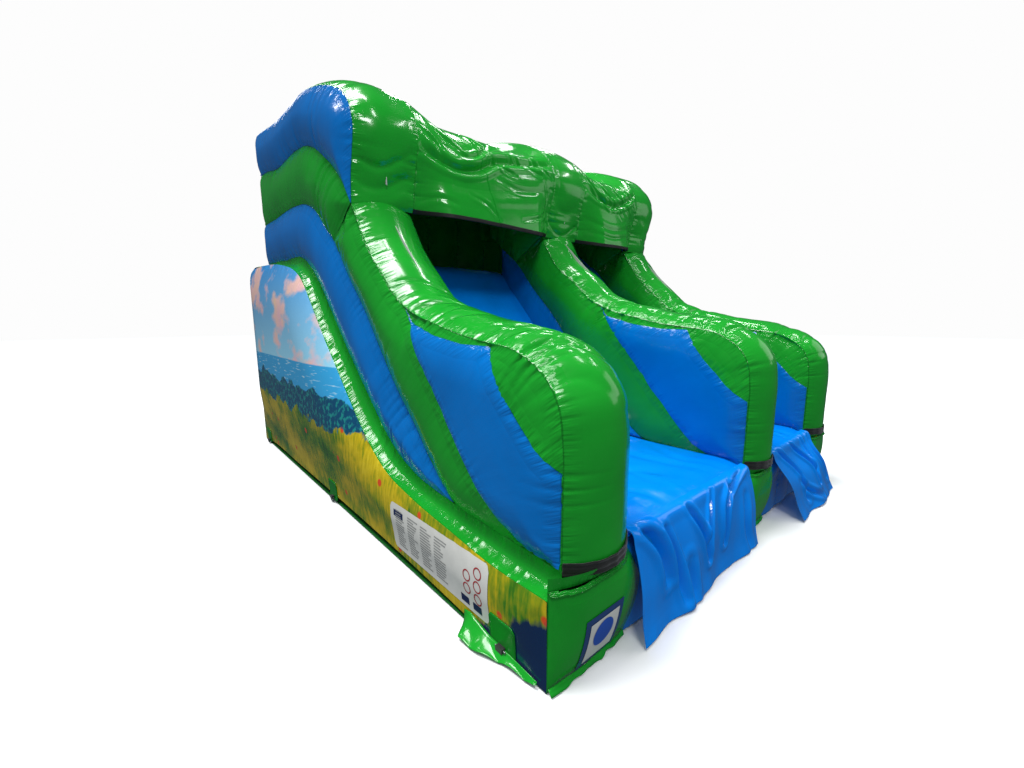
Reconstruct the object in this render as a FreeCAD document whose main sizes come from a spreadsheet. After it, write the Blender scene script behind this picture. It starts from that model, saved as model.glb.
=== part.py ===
import FreeCAD, Part
import math
import os
import re
import Sketcher

# Inflatable platform slide with a slide lane and a steps lane, side by side.
# Every air chamber is a closed skin with a sealed hollow, and the webs inside it are pieces of their own.
# Frame: +X to the right seen from the front, -Y towards the rider who walks up, +Z up, z = 0 on the ground.
# Outlines are drawn in a side view, where y = 0 is the front face of the base.

doc = FreeCAD.newDocument("wave_slide")
sheet = doc.addObject("Spreadsheet::Sheet", "sizes")

DRIVING = {
    # the base and the plan
    "base_width": 3350, "base_depth": 4450, "base_height": 430, "buttress_depth": 500,
    "wall_rear": "=base_depth - buttress_depth",
    "ledge": 70, "side_wall_width": 388, "centre_wall_width": 380, "slide_lane_width": 1243,
    # the bed and the platform
    "landing_length": 1000, "landing_height": 455, "platform_front": 2270, "platform_height": 1770,
    "back_wall_depth": 350, "back_wall_rise": 1160,
    # the wall's front column
    "column_bulge": 75, "column_height": 1360, "column_depth": 850, "column_shoulder": 360,
    "shoulder_back": 50, "shoulder_drop": 180, "brow_back": 300, "brow_drop": 80,
    "saddle_back": 300, "saddle_rise": 140, "centre_rise": 40,
    # where the wall's tubes meet, counted from the platform's front edge
    "tube_foot": 850, "foot_rise": 50, "tip_rise": 175, "ledge_turn_back": 100, "ledge_turn_rise": 85,
    "ledge_lag": 340, "ledge_rear_rise": 110,
    "ring_lead": 180, "ring_rise": 90, "knee_lag": 160, "knee_rise": 355, "flat_lag": 480,
    "flat_rise": 460, "tube_rear_rise": 490, "crest_lead": 630, "crest_rise": 230, "arch_rise": 370,
    "arch_bend_lead": 70, "arch_bend_rise": 680, "arch_top_lag": 330, "arch_top_rise": 830,
    "arch_rear_rise": 930,
    "brow_lead": 620, "brow_rise": 830, "cap_lead": 320, "cap_rise": 1030, "wave_lag": 250,
    "wave_rise": 1230, "dip_lag": 760, "dip_stop": 60,
    "dip_rise": 1260, "top_rear_rise": 1370,
    # skins and roundings
    "skin": 10, "base_round": 24, "tube_round": 50, "step_round": 35, "web_thickness": 4,
    "web_spacing": 310, "transfer_radius": 90, "printed_skin": 3, "art_margin": 60, "art_drop": 80,
    # the steps
    "step_width": 190, "step_rise": 130, "step_inset": 10, "step_start": 120, "step_pitch": 420,
    "low_hole_back": 500, "low_hole_rise": 230, "slope_hole_lead": 680, "platform_hole_rise": 440,
    "platform_hole_drop": 530,
    # the coloured panel on each side of a column, counted from the column's own corners
    "flash_tip_back": 240, "flash_tip_rise": 25, "flash_brow_inset": 60, "flash_brow_drop": 95,
    "flash_shoulder_back": 100, "flash_shoulder_drop": 125, "flash_nose_back": 40,
    "flash_nose_drop": 500, "flash_nose_dip": 60, "flash_edge": 15, "flash_foot_gap": 15,
    "flash_heel": 195, "flash_waist_inset": 260, "flash_waist_drop": 560, "flash_neck_back": 40,
    "flash_neck_drop": 220,
    # loose sheets
    "sheet_thickness": 6, "sheet_inset": 10, "sheet_tail": 150, "sheet_stop": 30,
    "apron_thickness": 6, "apron_gap": 2, "slide_apron_reach": 130, "steps_apron_reach": 225,
    "apron_lift": 4, "fascia_thickness": 12, "fascia_lead": 665, "fascia_hem_rise": 250,
    "fascia_top_rise": 860, "hem_height": 35, "roof_thickness": 12, "roof_drop": 60,
    # straps, pockets and labels
    "strap_height": 50, "strap_thickness": 4, "strap_clearance": 2, "strap_lift": 5,
    "pocket_inset": 138, "pocket_lift": 14, "pocket_width": 232, "pocket_height": 240,
    "pocket_thickness": 4, "pocket_border": 28, "card_thickness": 1,
    "label_start": 320, "label_length": 860, "label_height": 270, "label_lift": 85,
    # anchors
    "anchor_front": 240, "anchor_middle": 2200, "anchor_inset": 220,
    "anchor_rear": "=base_depth - anchor_inset", "patch_width": 160,
    "patch_height": 150, "patch_lift": 15, "patch_thickness": 4, "loop_width": 40,
    "loop_thickness": 20, "ring_height": 40, "ring_wire": 4, "ring_inside": 52, "ring_clearance": 0.5,
    # air inlet
    "inlet_radius": 140, "inlet_length": 520, "inlet_skin": 6, "inlet_offset": 900, "inlet_lift": 24,
    "inlet_strap_width": 40, "inlet_strap_thickness": 3, "inlet_strap_back": 120, "flap_radius": 152,
    "flap_thickness": 4, "flap_clearance": 1,
    # deflation zip
    "zip_offset": 900, "zip_height": 420, "zip_length": 600, "zip_tape_width": 60,
    "zip_tape_thickness": 3, "zip_chain_width": 10, "slider_width": 24, "slider_length": 36,
    "slider_plate": 4, "slider_clearance": 0.5, "puller_width": 12, "puller_length": 40,
    "cover_overhang": 40, "cover_height": 120, "cover_thickness": 3, "cover_clearance": 14,
    "cover_gap": 1,
}
for row, (alias, number) in enumerate(DRIVING.items(), start=1):
    sheet.set(f"A{row}", alias)
    sheet.set(f"B{row}", str(number))
    sheet.setAlias(f"B{row}", alias)
doc.recompute()

# Places across the width, as formulas on the sheet's own names.
LEFT_EDGE = "-base_width / 2"
LEFT_WALL = "-base_width / 2 + ledge"
SLIDE_LANE = f"{LEFT_WALL} + side_wall_width"
CENTRE_WALL = f"{SLIDE_LANE} + slide_lane_width"
STEPS_LANE = f"{CENTRE_WALL} + centre_wall_width"
RIGHT_WALL = "base_width / 2 - ledge - side_wall_width"
SIDE_WIDTH = "ledge + side_wall_width"
STEPS_LANE_WIDTH = f"{RIGHT_WALL} - ({STEPS_LANE})"
INSIDE_WIDTH = f"{RIGHT_WALL} - ({SLIDE_LANE})"
# The front face's place, so that the whole object is centred between its apron and its inlet sleeve.
FRONT = "-(base_depth + inlet_length - steps_apron_reach - apron_thickness) / 2"
SLOPE_RUN = "(platform_front - landing_length)"
SLOPE_RISE = "(platform_height - landing_height)"
SLOPE_LENGTH = f"sqrt({SLOPE_RUN} ^ 2 + {SLOPE_RISE} ^ 2)"


def size(alias):
    return float(sheet.get(alias))


def formula(text, unit=" * 1 mm"):
    """The text as an expression on the sheet, in millimetres."""
    names = re.sub(r"[a-z]\w*", lambda word: "sizes." + word[0] if word[0] in DRIVING else word[0], text)
    return f"({names}){unit}"


def bind(thing, **places):
    """Bind each named property of a document object to a formula."""
    for name, text in places.items():
        thing.setExpression(name.replace("__", "."), formula(text))
    return thing


def outline(name, points):
    """A closed side-view sketch whose corners are all bound to formulas."""
    sketch = doc.addObject("Sketcher::SketchObject", name + "_outline")
    side_view = FreeCAD.Rotation(FreeCAD.Vector(0, 1, 0), FreeCAD.Vector(0, 0, 1), FreeCAD.Vector(1, 0, 0))
    sketch.Placement = FreeCAD.Placement(FreeCAD.Vector(0, 0, 0), side_view)
    count = len(points)
    turn = 2 * math.pi / count
    corners = [FreeCAD.Vector(math.cos(turn * i), math.sin(turn * i), 0) * 1000 for i in range(count)]
    for i in range(count):
        sketch.addGeometry(Part.LineSegment(corners[i], corners[(i + 1) % count]))
    for i in range(count):
        sketch.addConstraint(Sketcher.Constraint("Coincident", i, 2, (i + 1) % count, 1))
    for i, place in enumerate(points):
        for kind, start, text in zip(("DistanceX", "DistanceY"), corners[i], place):
            number = sketch.addConstraint(Sketcher.Constraint(kind, -1, 1, i, 1, start))
            sketch.setExpression(f"Constraints[{number}]", formula(text))
    return sketch


def prism(name, points, start, width):
    """A side-view outline pulled across the slide."""
    solid = doc.addObject("Part::Extrusion", name + "_prism")
    solid.Base = outline(name, points)
    solid.DirMode = "Custom"
    solid.Dir = FreeCAD.Vector(1, 0, 0)
    solid.Solid = True
    return bind(solid, LengthFwd=width, Placement__Base__x=start, Placement__Base__y=FRONT)


def named(thing, label):
    thing.Label = label
    subparts.append(thing)
    return thing


def rounded(name, solid, radius):
    """The solid with the edges of its two side faces rounded."""
    doc.recompute()
    soft = doc.addObject("Part::Fillet", name + "_rounded")
    soft.Base = solid
    across = [abs(edge.tangentAt(edge.FirstParameter).x) > 0.5 for edge in solid.Shape.Edges]
    soft.Edges = [(i, radius, radius) for i, is_across in enumerate(across, start=1) if not is_across]
    return soft


def drawn_in(name, solid):
    """The same shape, smaller by the skin's thickness all round."""
    inside = doc.addObject("Part::Offset", name)
    inside.Source = solid
    return bind(inside, Value="-skin")


def soft_shell(name, points, start, width, radius):
    """A closed skin with rounded sides round a sealed hollow, which is sharp where the rounding is small."""
    plain = prism(name, points, start, width)
    soft = rounded(name, plain, size(radius))
    hollows[name] = drawn_in(name + "_plain_hollow", plain)
    small_rounding = size(radius) < 3 * size("skin")
    shell = doc.addObject("Part::Cut", name)
    shell.Base = soft
    shell.Tool = hollows[name] if small_rounding else drawn_in(name + "_hollow", soft)
    return shell


def chamber(name, points, start, width, radius):
    return named(soft_shell(name, points, start, width, radius), name)


def group(name, solids):
    together = doc.addObject("Part::Compound", name)
    together.Links = solids
    return named(together, name)


def box(name, corner, sides):
    """A box by formulas for its low corner and its three sides; y is counted from the front face."""
    solid = doc.addObject("Part::Box", name)
    low_x, low_y, low_z = corner
    bind(solid, Length=sides[0], Width=sides[1], Height=sides[2])
    bind(solid, Placement__Base__x=low_x, Placement__Base__z=low_z)
    return bind(solid, Placement__Base__y=f"{low_y} + {FRONT}")


def web(name, inside_of, across, holes):
    """A web of fabric in a chamber's hollow, at one place across, with round air passages."""
    slab = doc.addObject("Part::Box", name + "_slab")
    bind(slab, Length="web_thickness", Width="2 * base_depth", Height="2 * base_depth")
    bind(slab, Placement__Base__x=f"{across} - web_thickness / 2", Placement__Base__y="-base_depth")
    sheet_in = doc.addObject("Part::Common", name + "_full")
    sheet_in.Base = hollows[inside_of]
    sheet_in.Tool = slab
    passages = []
    for i, (y, z) in enumerate(holes):
        hole = doc.addObject("Part::Cylinder", f"{name}_passage_{i}")
        hole.Placement.Rotation = FreeCAD.Rotation(FreeCAD.Vector(0, 1, 0), 90)
        bind(hole, Radius="transfer_radius", Height="3 * web_thickness")
        bind(hole, Placement__Base__x=f"{across} - 1.5 * web_thickness")
        bind(hole, Placement__Base__y=f"{y} + {FRONT}", Placement__Base__z=z)
        passages.append(hole)
    cutter = doc.addObject("Part::Compound", name + "_passages")
    cutter.Links = passages
    pierced = doc.addObject("Part::Cut", name)
    pierced.Base = sheet_in
    pierced.Tool = cutter
    return pierced


subparts = []
hollows = {}

SPAR_REAR = "wall_rear - back_wall_depth"

# Lines that the wall's tubes and the base share, in side view.
LEDGE = [
    ("tube_foot", "base_height + foot_rise"),
    ("landing_length + ledge_turn_back", "base_height + ledge_turn_rise"),
    ("platform_front + ledge_lag", "platform_height"),
    ("wall_rear", "platform_height + ledge_rear_rise"),
]
RING = ("platform_front - ring_lead", "platform_height + ring_rise")
TUBE = [
    ("tube_foot", "landing_height + tip_rise"),
    RING,
    ("platform_front + knee_lag", "platform_height + knee_rise"),
    ("platform_front + flat_lag", "platform_height + flat_rise"),
    ("wall_rear", "platform_height + tube_rear_rise"),
]
CREST_END = ("platform_front - crest_lead", "platform_height + crest_rise")
ARCH = [
    ("platform_front - crest_lead", "platform_height + arch_rise"),
    ("platform_front - arch_bend_lead", "platform_height + arch_bend_rise"),
    ("platform_front + arch_top_lag", "platform_height + arch_top_rise"),
    ("wall_rear", "platform_height + arch_rear_rise"),
]
TOP = [
    ("platform_front - brow_lead", "platform_height + brow_rise"),
    ("platform_front - cap_lead", "platform_height + cap_rise"),
    ("platform_front + wave_lag", "platform_height + wave_rise"),
    (f"min(platform_front + dip_lag, {SPAR_REAR} - dip_stop)", "platform_height + dip_rise"),
    ("wall_rear", "platform_height + top_rear_rise"),
]


def crest(rise):
    """The column's front and top and the slope's crest, from the foot to the ring seam."""
    return [
        ("-column_bulge", "base_height"),
        ("-column_bulge", f"column_height - column_shoulder + {rise}"),
        ("shoulder_back", f"column_height - shoulder_drop + {rise}"),
        ("brow_back", f"column_height - brow_drop + {rise}"),
        ("column_depth", f"column_height + {rise}"),
        ("column_depth + saddle_back", f"column_height + saddle_rise + {rise}"),
        CREST_END,
    ]


def height_on(line_start, line_end, place):
    """The height, as a formula, of a straight line at a place along the slide."""
    (start_y, start_z), (end_y, end_z) = line_start, line_end
    share = f"(({place}) - ({start_y})) / (({end_y}) - ({start_y}))"
    return f"{start_z} + (({end_z}) - ({start_z})) * {share}"


# --- base and platform chambers -------------------------------------------------------------------
side_base = [("0", "0"), ("0", "base_height"), *LEDGE, ("wall_rear", "0")]
centre_ledge_end = ("platform_front", height_on(LEDGE[1], LEDGE[2], "platform_front"))
centre_base = [("0", "0"), ("0", "base_height"), *LEDGE[:2], centre_ledge_end, ("platform_front", "0")]
bed = [
    ("0", "0"), ("0", "landing_height"), ("landing_length", "landing_height"),
    ("platform_front", "platform_height"), ("platform_front", "0"),
]
platform = [
    ("platform_front", "0"), ("platform_front", "platform_height"),
    ("wall_rear", "platform_height"), ("wall_rear", "0"),
]
buttress = [
    ("wall_rear", "0"), ("wall_rear", "platform_height + ring_rise"),
    ("base_depth", "platform_height + ring_rise"), ("base_depth", "0"),
]
back_wall = [
    ("wall_rear - back_wall_depth", "platform_height"),
    ("wall_rear - back_wall_depth", "platform_height + back_wall_rise"),
    ("wall_rear", "platform_height + back_wall_rise"), ("wall_rear", "platform_height"),
]
chamber("left_base_chamber", side_base, LEFT_EDGE, SIDE_WIDTH, "base_round")
chamber("right_base_chamber", side_base, RIGHT_WALL, SIDE_WIDTH, "base_round")
chamber("centre_base_chamber", centre_base, CENTRE_WALL, "centre_wall_width", "base_round")
chamber("slide_bed_chamber", bed, SLIDE_LANE, "slide_lane_width", "base_round")
chamber("steps_bed_chamber", bed, STEPS_LANE, STEPS_LANE_WIDTH, "base_round")
chamber("platform_chamber", platform, SLIDE_LANE, INSIDE_WIDTH, "base_round")
chamber("back_wall_chamber", back_wall, SLIDE_LANE, INSIDE_WIDTH, "tube_round")

INLET_HEIGHT = "inlet_radius + inlet_skin + inlet_lift"


def along_y(name, radius, length, across, back, height):
    """A cylinder that points to the rear; back is counted from the front face."""
    solid = doc.addObject("Part::Cylinder", name)
    solid.Placement.Rotation = FreeCAD.Rotation(FreeCAD.Vector(1, 0, 0), -90)
    bind(solid, Radius=radius, Height=length, Placement__Base__x=across)
    return bind(solid, Placement__Base__y=f"{back} + {FRONT}", Placement__Base__z=height)


def cut(name, base, tool):
    rest = doc.addObject("Part::Cut", name)
    rest.Base = base
    rest.Tool = tool
    return rest


buttress_skin = soft_shell("rear_buttress", buttress, LEFT_EDGE, "base_width", "base_round")
INLET_HOLE_BACK = "base_depth - 1.5 * skin"
inlet_hole = along_y("inlet_hole", "inlet_radius", "2 * skin", "inlet_offset", INLET_HOLE_BACK, INLET_HEIGHT)
named(cut("rear_buttress_chamber", buttress_skin, inlet_hole), "rear_buttress_chamber")

# --- wall chambers --------------------------------------------------------------------------------
lower_tube = [*LEDGE, *reversed(TUBE)]
arch_tube = [RING, CREST_END, *ARCH, *reversed(TUBE[2:])]
top_chamber = [*TOP, *reversed(ARCH)]


def slope_tube(rise):
    return [LEDGE[0], TUBE[0], RING, *reversed(crest(rise))]


for side, start in (("left", LEFT_WALL), ("right", RIGHT_WALL)):
    chamber(f"{side}_wall_lower_tube", lower_tube, start, "side_wall_width", "tube_round")
    chamber(f"{side}_wall_slope_tube", slope_tube("0"), start, "side_wall_width", "tube_round")
    chamber(f"{side}_wall_arch_tube", arch_tube, start, "side_wall_width", "tube_round")
    chamber(f"{side}_wall_top_chamber", top_chamber, start, "side_wall_width", "tube_round")

centre_tube_end = ("platform_front", height_on(RING, TUBE[2], "platform_front"))
centre_lower = [*LEDGE[:2], centre_ledge_end, centre_tube_end, RING, TUBE[0]]
spar_top = (SPAR_REAR, height_on(TOP[3], TOP[4], SPAR_REAR))
spar_bottom = (SPAR_REAR, height_on(ARCH[2], ARCH[3], SPAR_REAR))
chamber("centre_wall_lower_tube", centre_lower, CENTRE_WALL, "centre_wall_width", "tube_round")
chamber("centre_wall_slope_tube", slope_tube("centre_rise"), CENTRE_WALL, "centre_wall_width", "tube_round")
pillar = [RING, CREST_END, *ARCH[:3], TUBE[2]]
chamber("centre_arch_pillar", pillar, CENTRE_WALL, "centre_wall_width", "tube_round")
spar = [*TOP[:4], spar_top, spar_bottom, *reversed(ARCH[:3])]
chamber("centre_roof_spar", spar, CENTRE_WALL, "centre_wall_width", "tube_round")

# --- steps ----------------------------------------------------------------------------------------
ALONG_Y, ALONG_Z = f"{SLOPE_RUN} / {SLOPE_LENGTH}", f"{SLOPE_RISE} / {SLOPE_LENGTH}"


def on_slope(along, above):
    """A point a distance up the slope and a height square off it."""
    y = f"landing_length + ({along}) * {ALONG_Y} - ({above}) * {ALONG_Z}"
    z = f"landing_height + ({along}) * {ALONG_Z} + ({above}) * {ALONG_Y}"
    return y, z


STEPS = 4
for i in range(STEPS):
    low = f"step_start + {i} * step_pitch"
    high = f"{low} + step_width"
    places = [(low, "0"), (low, "step_rise"), (high, "step_rise"), (high, "0")]
    corners = [on_slope(along, above) for along, above in places]
    across, width = f"{STEPS_LANE} + step_inset", f"{STEPS_LANE_WIDTH} - 2 * step_inset"
    chamber(f"step_tube_{i + 1}", corners, across, width, "step_round")

# --- webs inside the chambers ---------------------------------------------------------------------
LOW_HOLES = [("low_hole_back", "low_hole_rise"), ("platform_front - slope_hole_lead", "landing_height")]
PLATFORM_MIDDLE = "(platform_front + wall_rear) / 2"
PLATFORM_HOLES = [
    (PLATFORM_MIDDLE, "platform_hole_rise"), (PLATFORM_MIDDLE, "platform_height - platform_hole_drop"),
]
base_webs = [
    web(f"slide_bed_web_{i}", "slide_bed_chamber", f"{SLIDE_LANE} + {i} * web_spacing", LOW_HOLES)
    for i in (1, 2, 3)
]
base_webs += [web("steps_bed_web", "steps_bed_chamber", f"{STEPS_LANE} + {STEPS_LANE_WIDTH} / 2", LOW_HOLES)]
base_webs += [
    web(f"platform_web_{i}", "platform_chamber", f"{SLIDE_LANE} + {i} * {INSIDE_WIDTH} / 4", PLATFORM_HOLES)
    for i in (1, 2, 3)
]
group("base_webs", base_webs)
SLOPE_HOLE = ("column_depth + saddle_back", "column_height - saddle_rise")
COLUMN_HOLE = ("brow_back", "(column_height + base_height) / 2")
TOP_HOLES = [("platform_front", "platform_height + cap_rise - transfer_radius")]
walls = {
    "left": f"{LEFT_WALL} + side_wall_width / 2",
    "centre": f"{CENTRE_WALL} + centre_wall_width / 2",
    "right": f"{RIGHT_WALL} + side_wall_width / 2",
}
wall_webs = [
    web(f"{side}_slope_web", f"{side}_wall_slope_tube", middle, [SLOPE_HOLE, COLUMN_HOLE])
    for side, middle in walls.items()
]
wall_webs += [
    web(f"{side}_top_web", f"{side}_wall_top_chamber", walls[side], TOP_HOLES) for side in ("left", "right")
]
wall_webs += [web("centre_top_web", "centre_roof_spar", walls["centre"], TOP_HOLES)]
group("wall_webs", wall_webs)

# --- loose sheets ---------------------------------------------------------------------------------


def lifted(points, by):
    return [(y, f"{z} + {by}") for y, z in points]


def strip(name, line, by, start, width):
    """A sheet that lies on a line in side view."""
    return prism(name, [*line, *reversed(lifted(line, by))], start, width)


bed_line = [bed[1], bed[2], bed[3], ("platform_front + sheet_tail", "platform_height")]
landing_line = [bed[1], ("landing_length - sheet_stop", "landing_height")]
slide_sheet = (f"{SLIDE_LANE} + sheet_inset", "slide_lane_width - 2 * sheet_inset")
steps_sheet = (f"{STEPS_LANE} + sheet_inset", f"{STEPS_LANE_WIDTH} - 2 * sheet_inset")
named(strip("slide_cover", bed_line, "sheet_thickness", *slide_sheet), "slide_cover_sheet")
named(strip("steps_cover", landing_line, "sheet_thickness", *steps_sheet), "steps_cover_sheet")
APRON_TOP = "landing_height + sheet_thickness"
for lane, place in (("slide", slide_sheet), ("steps", steps_sheet)):
    reach = f"-{lane}_apron_reach"
    apron = [
        ("-apron_gap", APRON_TOP), ("-apron_gap - apron_thickness", APRON_TOP),
        (f"{reach} - apron_thickness", "apron_lift"), (reach, "apron_lift"),
    ]
    named(prism(f"{lane}_apron", apron, *place), f"{lane}_apron")

FASCIA_FRONT, FASCIA_FOOT = "platform_front - fascia_lead", "platform_height + fascia_hem_rise"
WALLS_WIDTH = "base_width - 2 * ledge"
fascia_sides = (WALLS_WIDTH, "fascia_thickness", "fascia_top_rise - fascia_hem_rise")
named(box("fascia_sheet", (LEFT_WALL, FASCIA_FRONT, FASCIA_FOOT), fascia_sides), "fascia_sheet")
bays = {"slide": (SLIDE_LANE, "slide_lane_width"), "steps": (STEPS_LANE, STEPS_LANE_WIDTH)}
roof_start = (f"{FASCIA_FRONT} + fascia_thickness", "platform_height + fascia_top_rise")
roof_line = lifted([roof_start, *TOP[1:4], spar_top], "-roof_drop")
roofs, hems = [], []
for bay, (start, width) in bays.items():
    roofs.append(strip(f"{bay}_roof", roof_line, "roof_thickness", start, width))
    hem_corner = (start, FASCIA_FRONT, f"{FASCIA_FOOT} - hem_height")
    hems.append(box(f"{bay}_hem", hem_corner, (width, "fascia_thickness", "hem_height")))
group("roof_sheet", roofs)
group("fascia_hem", hems)

# --- straps, coloured panels, prints and labels ---------------------------------------------------
FLASH = [
    ("column_depth + flash_tip_back", "column_height + flash_tip_rise"),
    ("column_depth - flash_brow_inset", "column_height - flash_brow_drop"),
    ("brow_back + flash_shoulder_back", "column_height - flash_shoulder_drop"),
    ("shoulder_back + flash_nose_back", "column_height - flash_nose_drop"),
    ("flash_edge", "column_height - flash_nose_drop - flash_nose_dip"),
    ("flash_edge", "landing_height + flash_foot_gap"), ("flash_heel", "landing_height + flash_foot_gap"),
    ("column_depth - flash_waist_inset", "column_height - flash_waist_drop"),
    ("column_depth + flash_neck_back", "column_height - flash_neck_drop"),
]
wall_faces = {
    "left": (LEFT_WALL, "side_wall_width"), "centre": (CENTRE_WALL, "centre_wall_width"),
    "right": (RIGHT_WALL, "side_wall_width"),
}
for side, (start, width) in wall_faces.items():
    outer = prism(f"{side}_flash_outer", FLASH, f"{start} - printed_skin", "printed_skin")
    inner = prism(f"{side}_flash_inner", FLASH, f"{start} + {width}", "printed_skin")
    group(f"flash_panels_{side}", [outer, inner])
    low_z = "base_height + strap_lift"
    front_y = "-column_bulge - strap_thickness"
    return_length = "column_bulge + strap_thickness - strap_clearance"
    band_sides = (f"{width} + 2 * strap_thickness", return_length, "strap_height")
    band = box(f"{side}_band", (f"{start} - strap_thickness", front_y, low_z), band_sides)
    core_sides = (width, "column_bulge + strap_thickness", "strap_height")
    core = box(f"{side}_band_core", (start, "-column_bulge", low_z), core_sides)
    named(cut(f"column_strap_{side}", band, core), f"column_strap_{side}")

art = [
    ("art_margin", "art_margin"), ("art_margin", "base_height - art_drop"),
    (LEDGE[1][0], f"{LEDGE[1][1]} - art_drop"), (f"{LEDGE[2][0]} + art_drop", f"{LEDGE[2][1]} - art_drop"),
    ("base_depth - art_margin", "platform_height"), ("base_depth - art_margin", "art_margin"),
]
named(prism("art_left", art, f"{LEFT_EDGE} - printed_skin", "printed_skin"), "art_panel_left")
named(prism("art_right", art, "base_width / 2", "printed_skin"), "art_panel_right")
label_corner = (f"{LEFT_EDGE} - 2 * printed_skin", "label_start", "label_lift")
named(box("info_label", label_corner, ("printed_skin", "label_length", "label_height")), "info_label")
pocket_corner = (f"{LEFT_EDGE} + pocket_inset", "-pocket_thickness", "pocket_lift")
pocket_sides = ("pocket_width", "pocket_thickness", "pocket_height")
named(box("sign_pocket", pocket_corner, pocket_sides), "sign_pocket")
card_x, card_y = f"{pocket_corner[0]} + pocket_border", "-pocket_thickness - card_thickness"
card_corner = (card_x, card_y, "pocket_lift + pocket_border")
card_sides = ("pocket_width - 2 * pocket_border", "card_thickness", "pocket_height - 2 * pocket_border")
named(box("sign_card", card_corner, card_sides), "sign_card")

# --- anchors --------------------------------------------------------------------------------------
LOOP_OUT = "base_width / 2 + printed_skin + patch_thickness"
BAR_OUT = f"{LOOP_OUT} + loop_thickness / 2"
BAR_HALF = "ring_inside / 2 + ring_wire"
patches, loops = [], []
for side, sign in (("left", -1), ("right", 1)):
    for place in ("front", "middle", "rear"):
        spot, back = f"{place}_{side}", f"anchor_{place}"
        patch_x = f"{sign} * ({LOOP_OUT} - patch_thickness / 2) - patch_thickness / 2"
        patch_corner = (patch_x, f"{back} - patch_width / 2", "patch_lift")
        patch_sides = ("patch_thickness", "patch_width", "patch_height")
        patches.append(box(f"patch_{spot}", patch_corner, patch_sides))
        loop_x = f"{sign} * ({BAR_OUT}) - loop_thickness / 2"
        loop_corner = (loop_x, f"{back} - loop_width / 2", "ring_height - loop_thickness / 2")
        block = box(f"loop_block_{spot}", loop_corner, ("loop_thickness", "loop_width", "loop_thickness"))
        bore_radius, bar_x = "ring_wire + ring_clearance", f"{sign} * ({BAR_OUT})"
        bore_start, bar_start = f"{back} - loop_width", f"{back} - ({BAR_HALF})"
        bore = along_y(f"loop_bore_{spot}", bore_radius, "2 * loop_width", bar_x, bore_start, "ring_height")
        loops.append(cut(f"loop_{spot}", block, bore))
        bar_length = f"2 * ({BAR_HALF})"
        bar = along_y(f"ring_bar_{spot}", "ring_wire", bar_length, bar_x, bar_start, "ring_height")
        bow = doc.addObject("Part::Torus", f"ring_bow_{spot}")
        bow.Angle3 = 180
        along, down = FreeCAD.Vector(0, 1, 0), FreeCAD.Vector(0, 0, -1)
        hanging = FreeCAD.Rotation(along, down, along.cross(down))
        bow.Placement.Rotation = hanging
        bind(bow, Radius1=BAR_HALF, Radius2="ring_wire", Placement__Base__x=bar_x)
        bind(bow, Placement__Base__y=f"{back} + {FRONT}", Placement__Base__z="ring_height")
        ring = doc.addObject("Part::Fuse", f"d_ring_{spot}")
        ring.Base = bar
        ring.Tool = bow
        named(ring, f"d_ring_{spot}")
group("anchor_patches", patches)
group("anchor_loops", loops)

# --- air inlet ------------------------------------------------------------------------------------
def inlet_tube(name, inside, wall, back, length):
    outer = along_y(f"{name}_outer", f"{inside} + {wall}", length, "inlet_offset", back, INLET_HEIGHT)
    inner = along_y(f"{name}_inner", inside, length, "inlet_offset", back, INLET_HEIGHT)
    return named(cut(name, outer, inner), name)


inlet_tube("inlet_sleeve", "inlet_radius", "inlet_skin", "base_depth", "inlet_length")
sleeve_outside = "inlet_radius + inlet_skin"
strap_back = "base_depth + inlet_length - inlet_strap_back"
inlet_tube("inlet_strap", sleeve_outside, "inlet_strap_thickness", strap_back, "inlet_strap_width")
flap_back = "base_depth - skin - flap_clearance - flap_thickness"
flap = along_y("inlet_flap", "flap_radius", "flap_thickness", "inlet_offset", flap_back, INLET_HEIGHT)
named(flap, "inlet_flap")

# --- deflation zip --------------------------------------------------------------------------------
ZIP_START = "-zip_offset - zip_length / 2"
tape_corner = (ZIP_START, "base_depth", "zip_height - zip_tape_width / 2")
tape = box("zip_stringer", tape_corner, ("zip_length", "zip_tape_thickness", "zip_tape_width"))
chain_corner = (ZIP_START, "base_depth + zip_tape_thickness", "zip_height - zip_chain_width / 2")
chain = box("zip_chain", chain_corner, ("zip_length", "zip_tape_thickness", "zip_chain_width"))
group("zip_tape", [tape, chain])
slider_y = "base_depth + 2 * zip_tape_thickness + slider_clearance"
slider_corner = (ZIP_START, slider_y, "zip_height - slider_width / 2")
plate = box("slider_plate_box", slider_corner, ("slider_length", "slider_plate", "slider_width"))
puller_x = f"{ZIP_START} + (slider_length - puller_width) / 2"
puller_corner = (puller_x, slider_y, "zip_height - slider_width / 2 - puller_length")
puller = box("puller_box", puller_corner, ("puller_width", "slider_plate", "puller_length"))
slider = doc.addObject("Part::Fuse", "zip_slider")
slider.Base = plate
slider.Tool = puller
named(slider, "zip_slider")
cover_x, cover_length = f"{ZIP_START} - cover_overhang", "zip_length + 2 * cover_overhang"
cover_top = "zip_height + cover_height / 2"
band_corner = (cover_x, "base_depth", cover_top)
band_sides = (cover_length, "cover_clearance + cover_thickness", "cover_thickness")
named(box("zip_cover_band", band_corner, band_sides), "zip_cover_band")
cover_corner = (cover_x, "base_depth + cover_clearance", f"{cover_top} - cover_height - cover_gap")
named(box("zip_cover", cover_corner, (cover_length, "cover_thickness", "cover_height")), "zip_cover")

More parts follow.
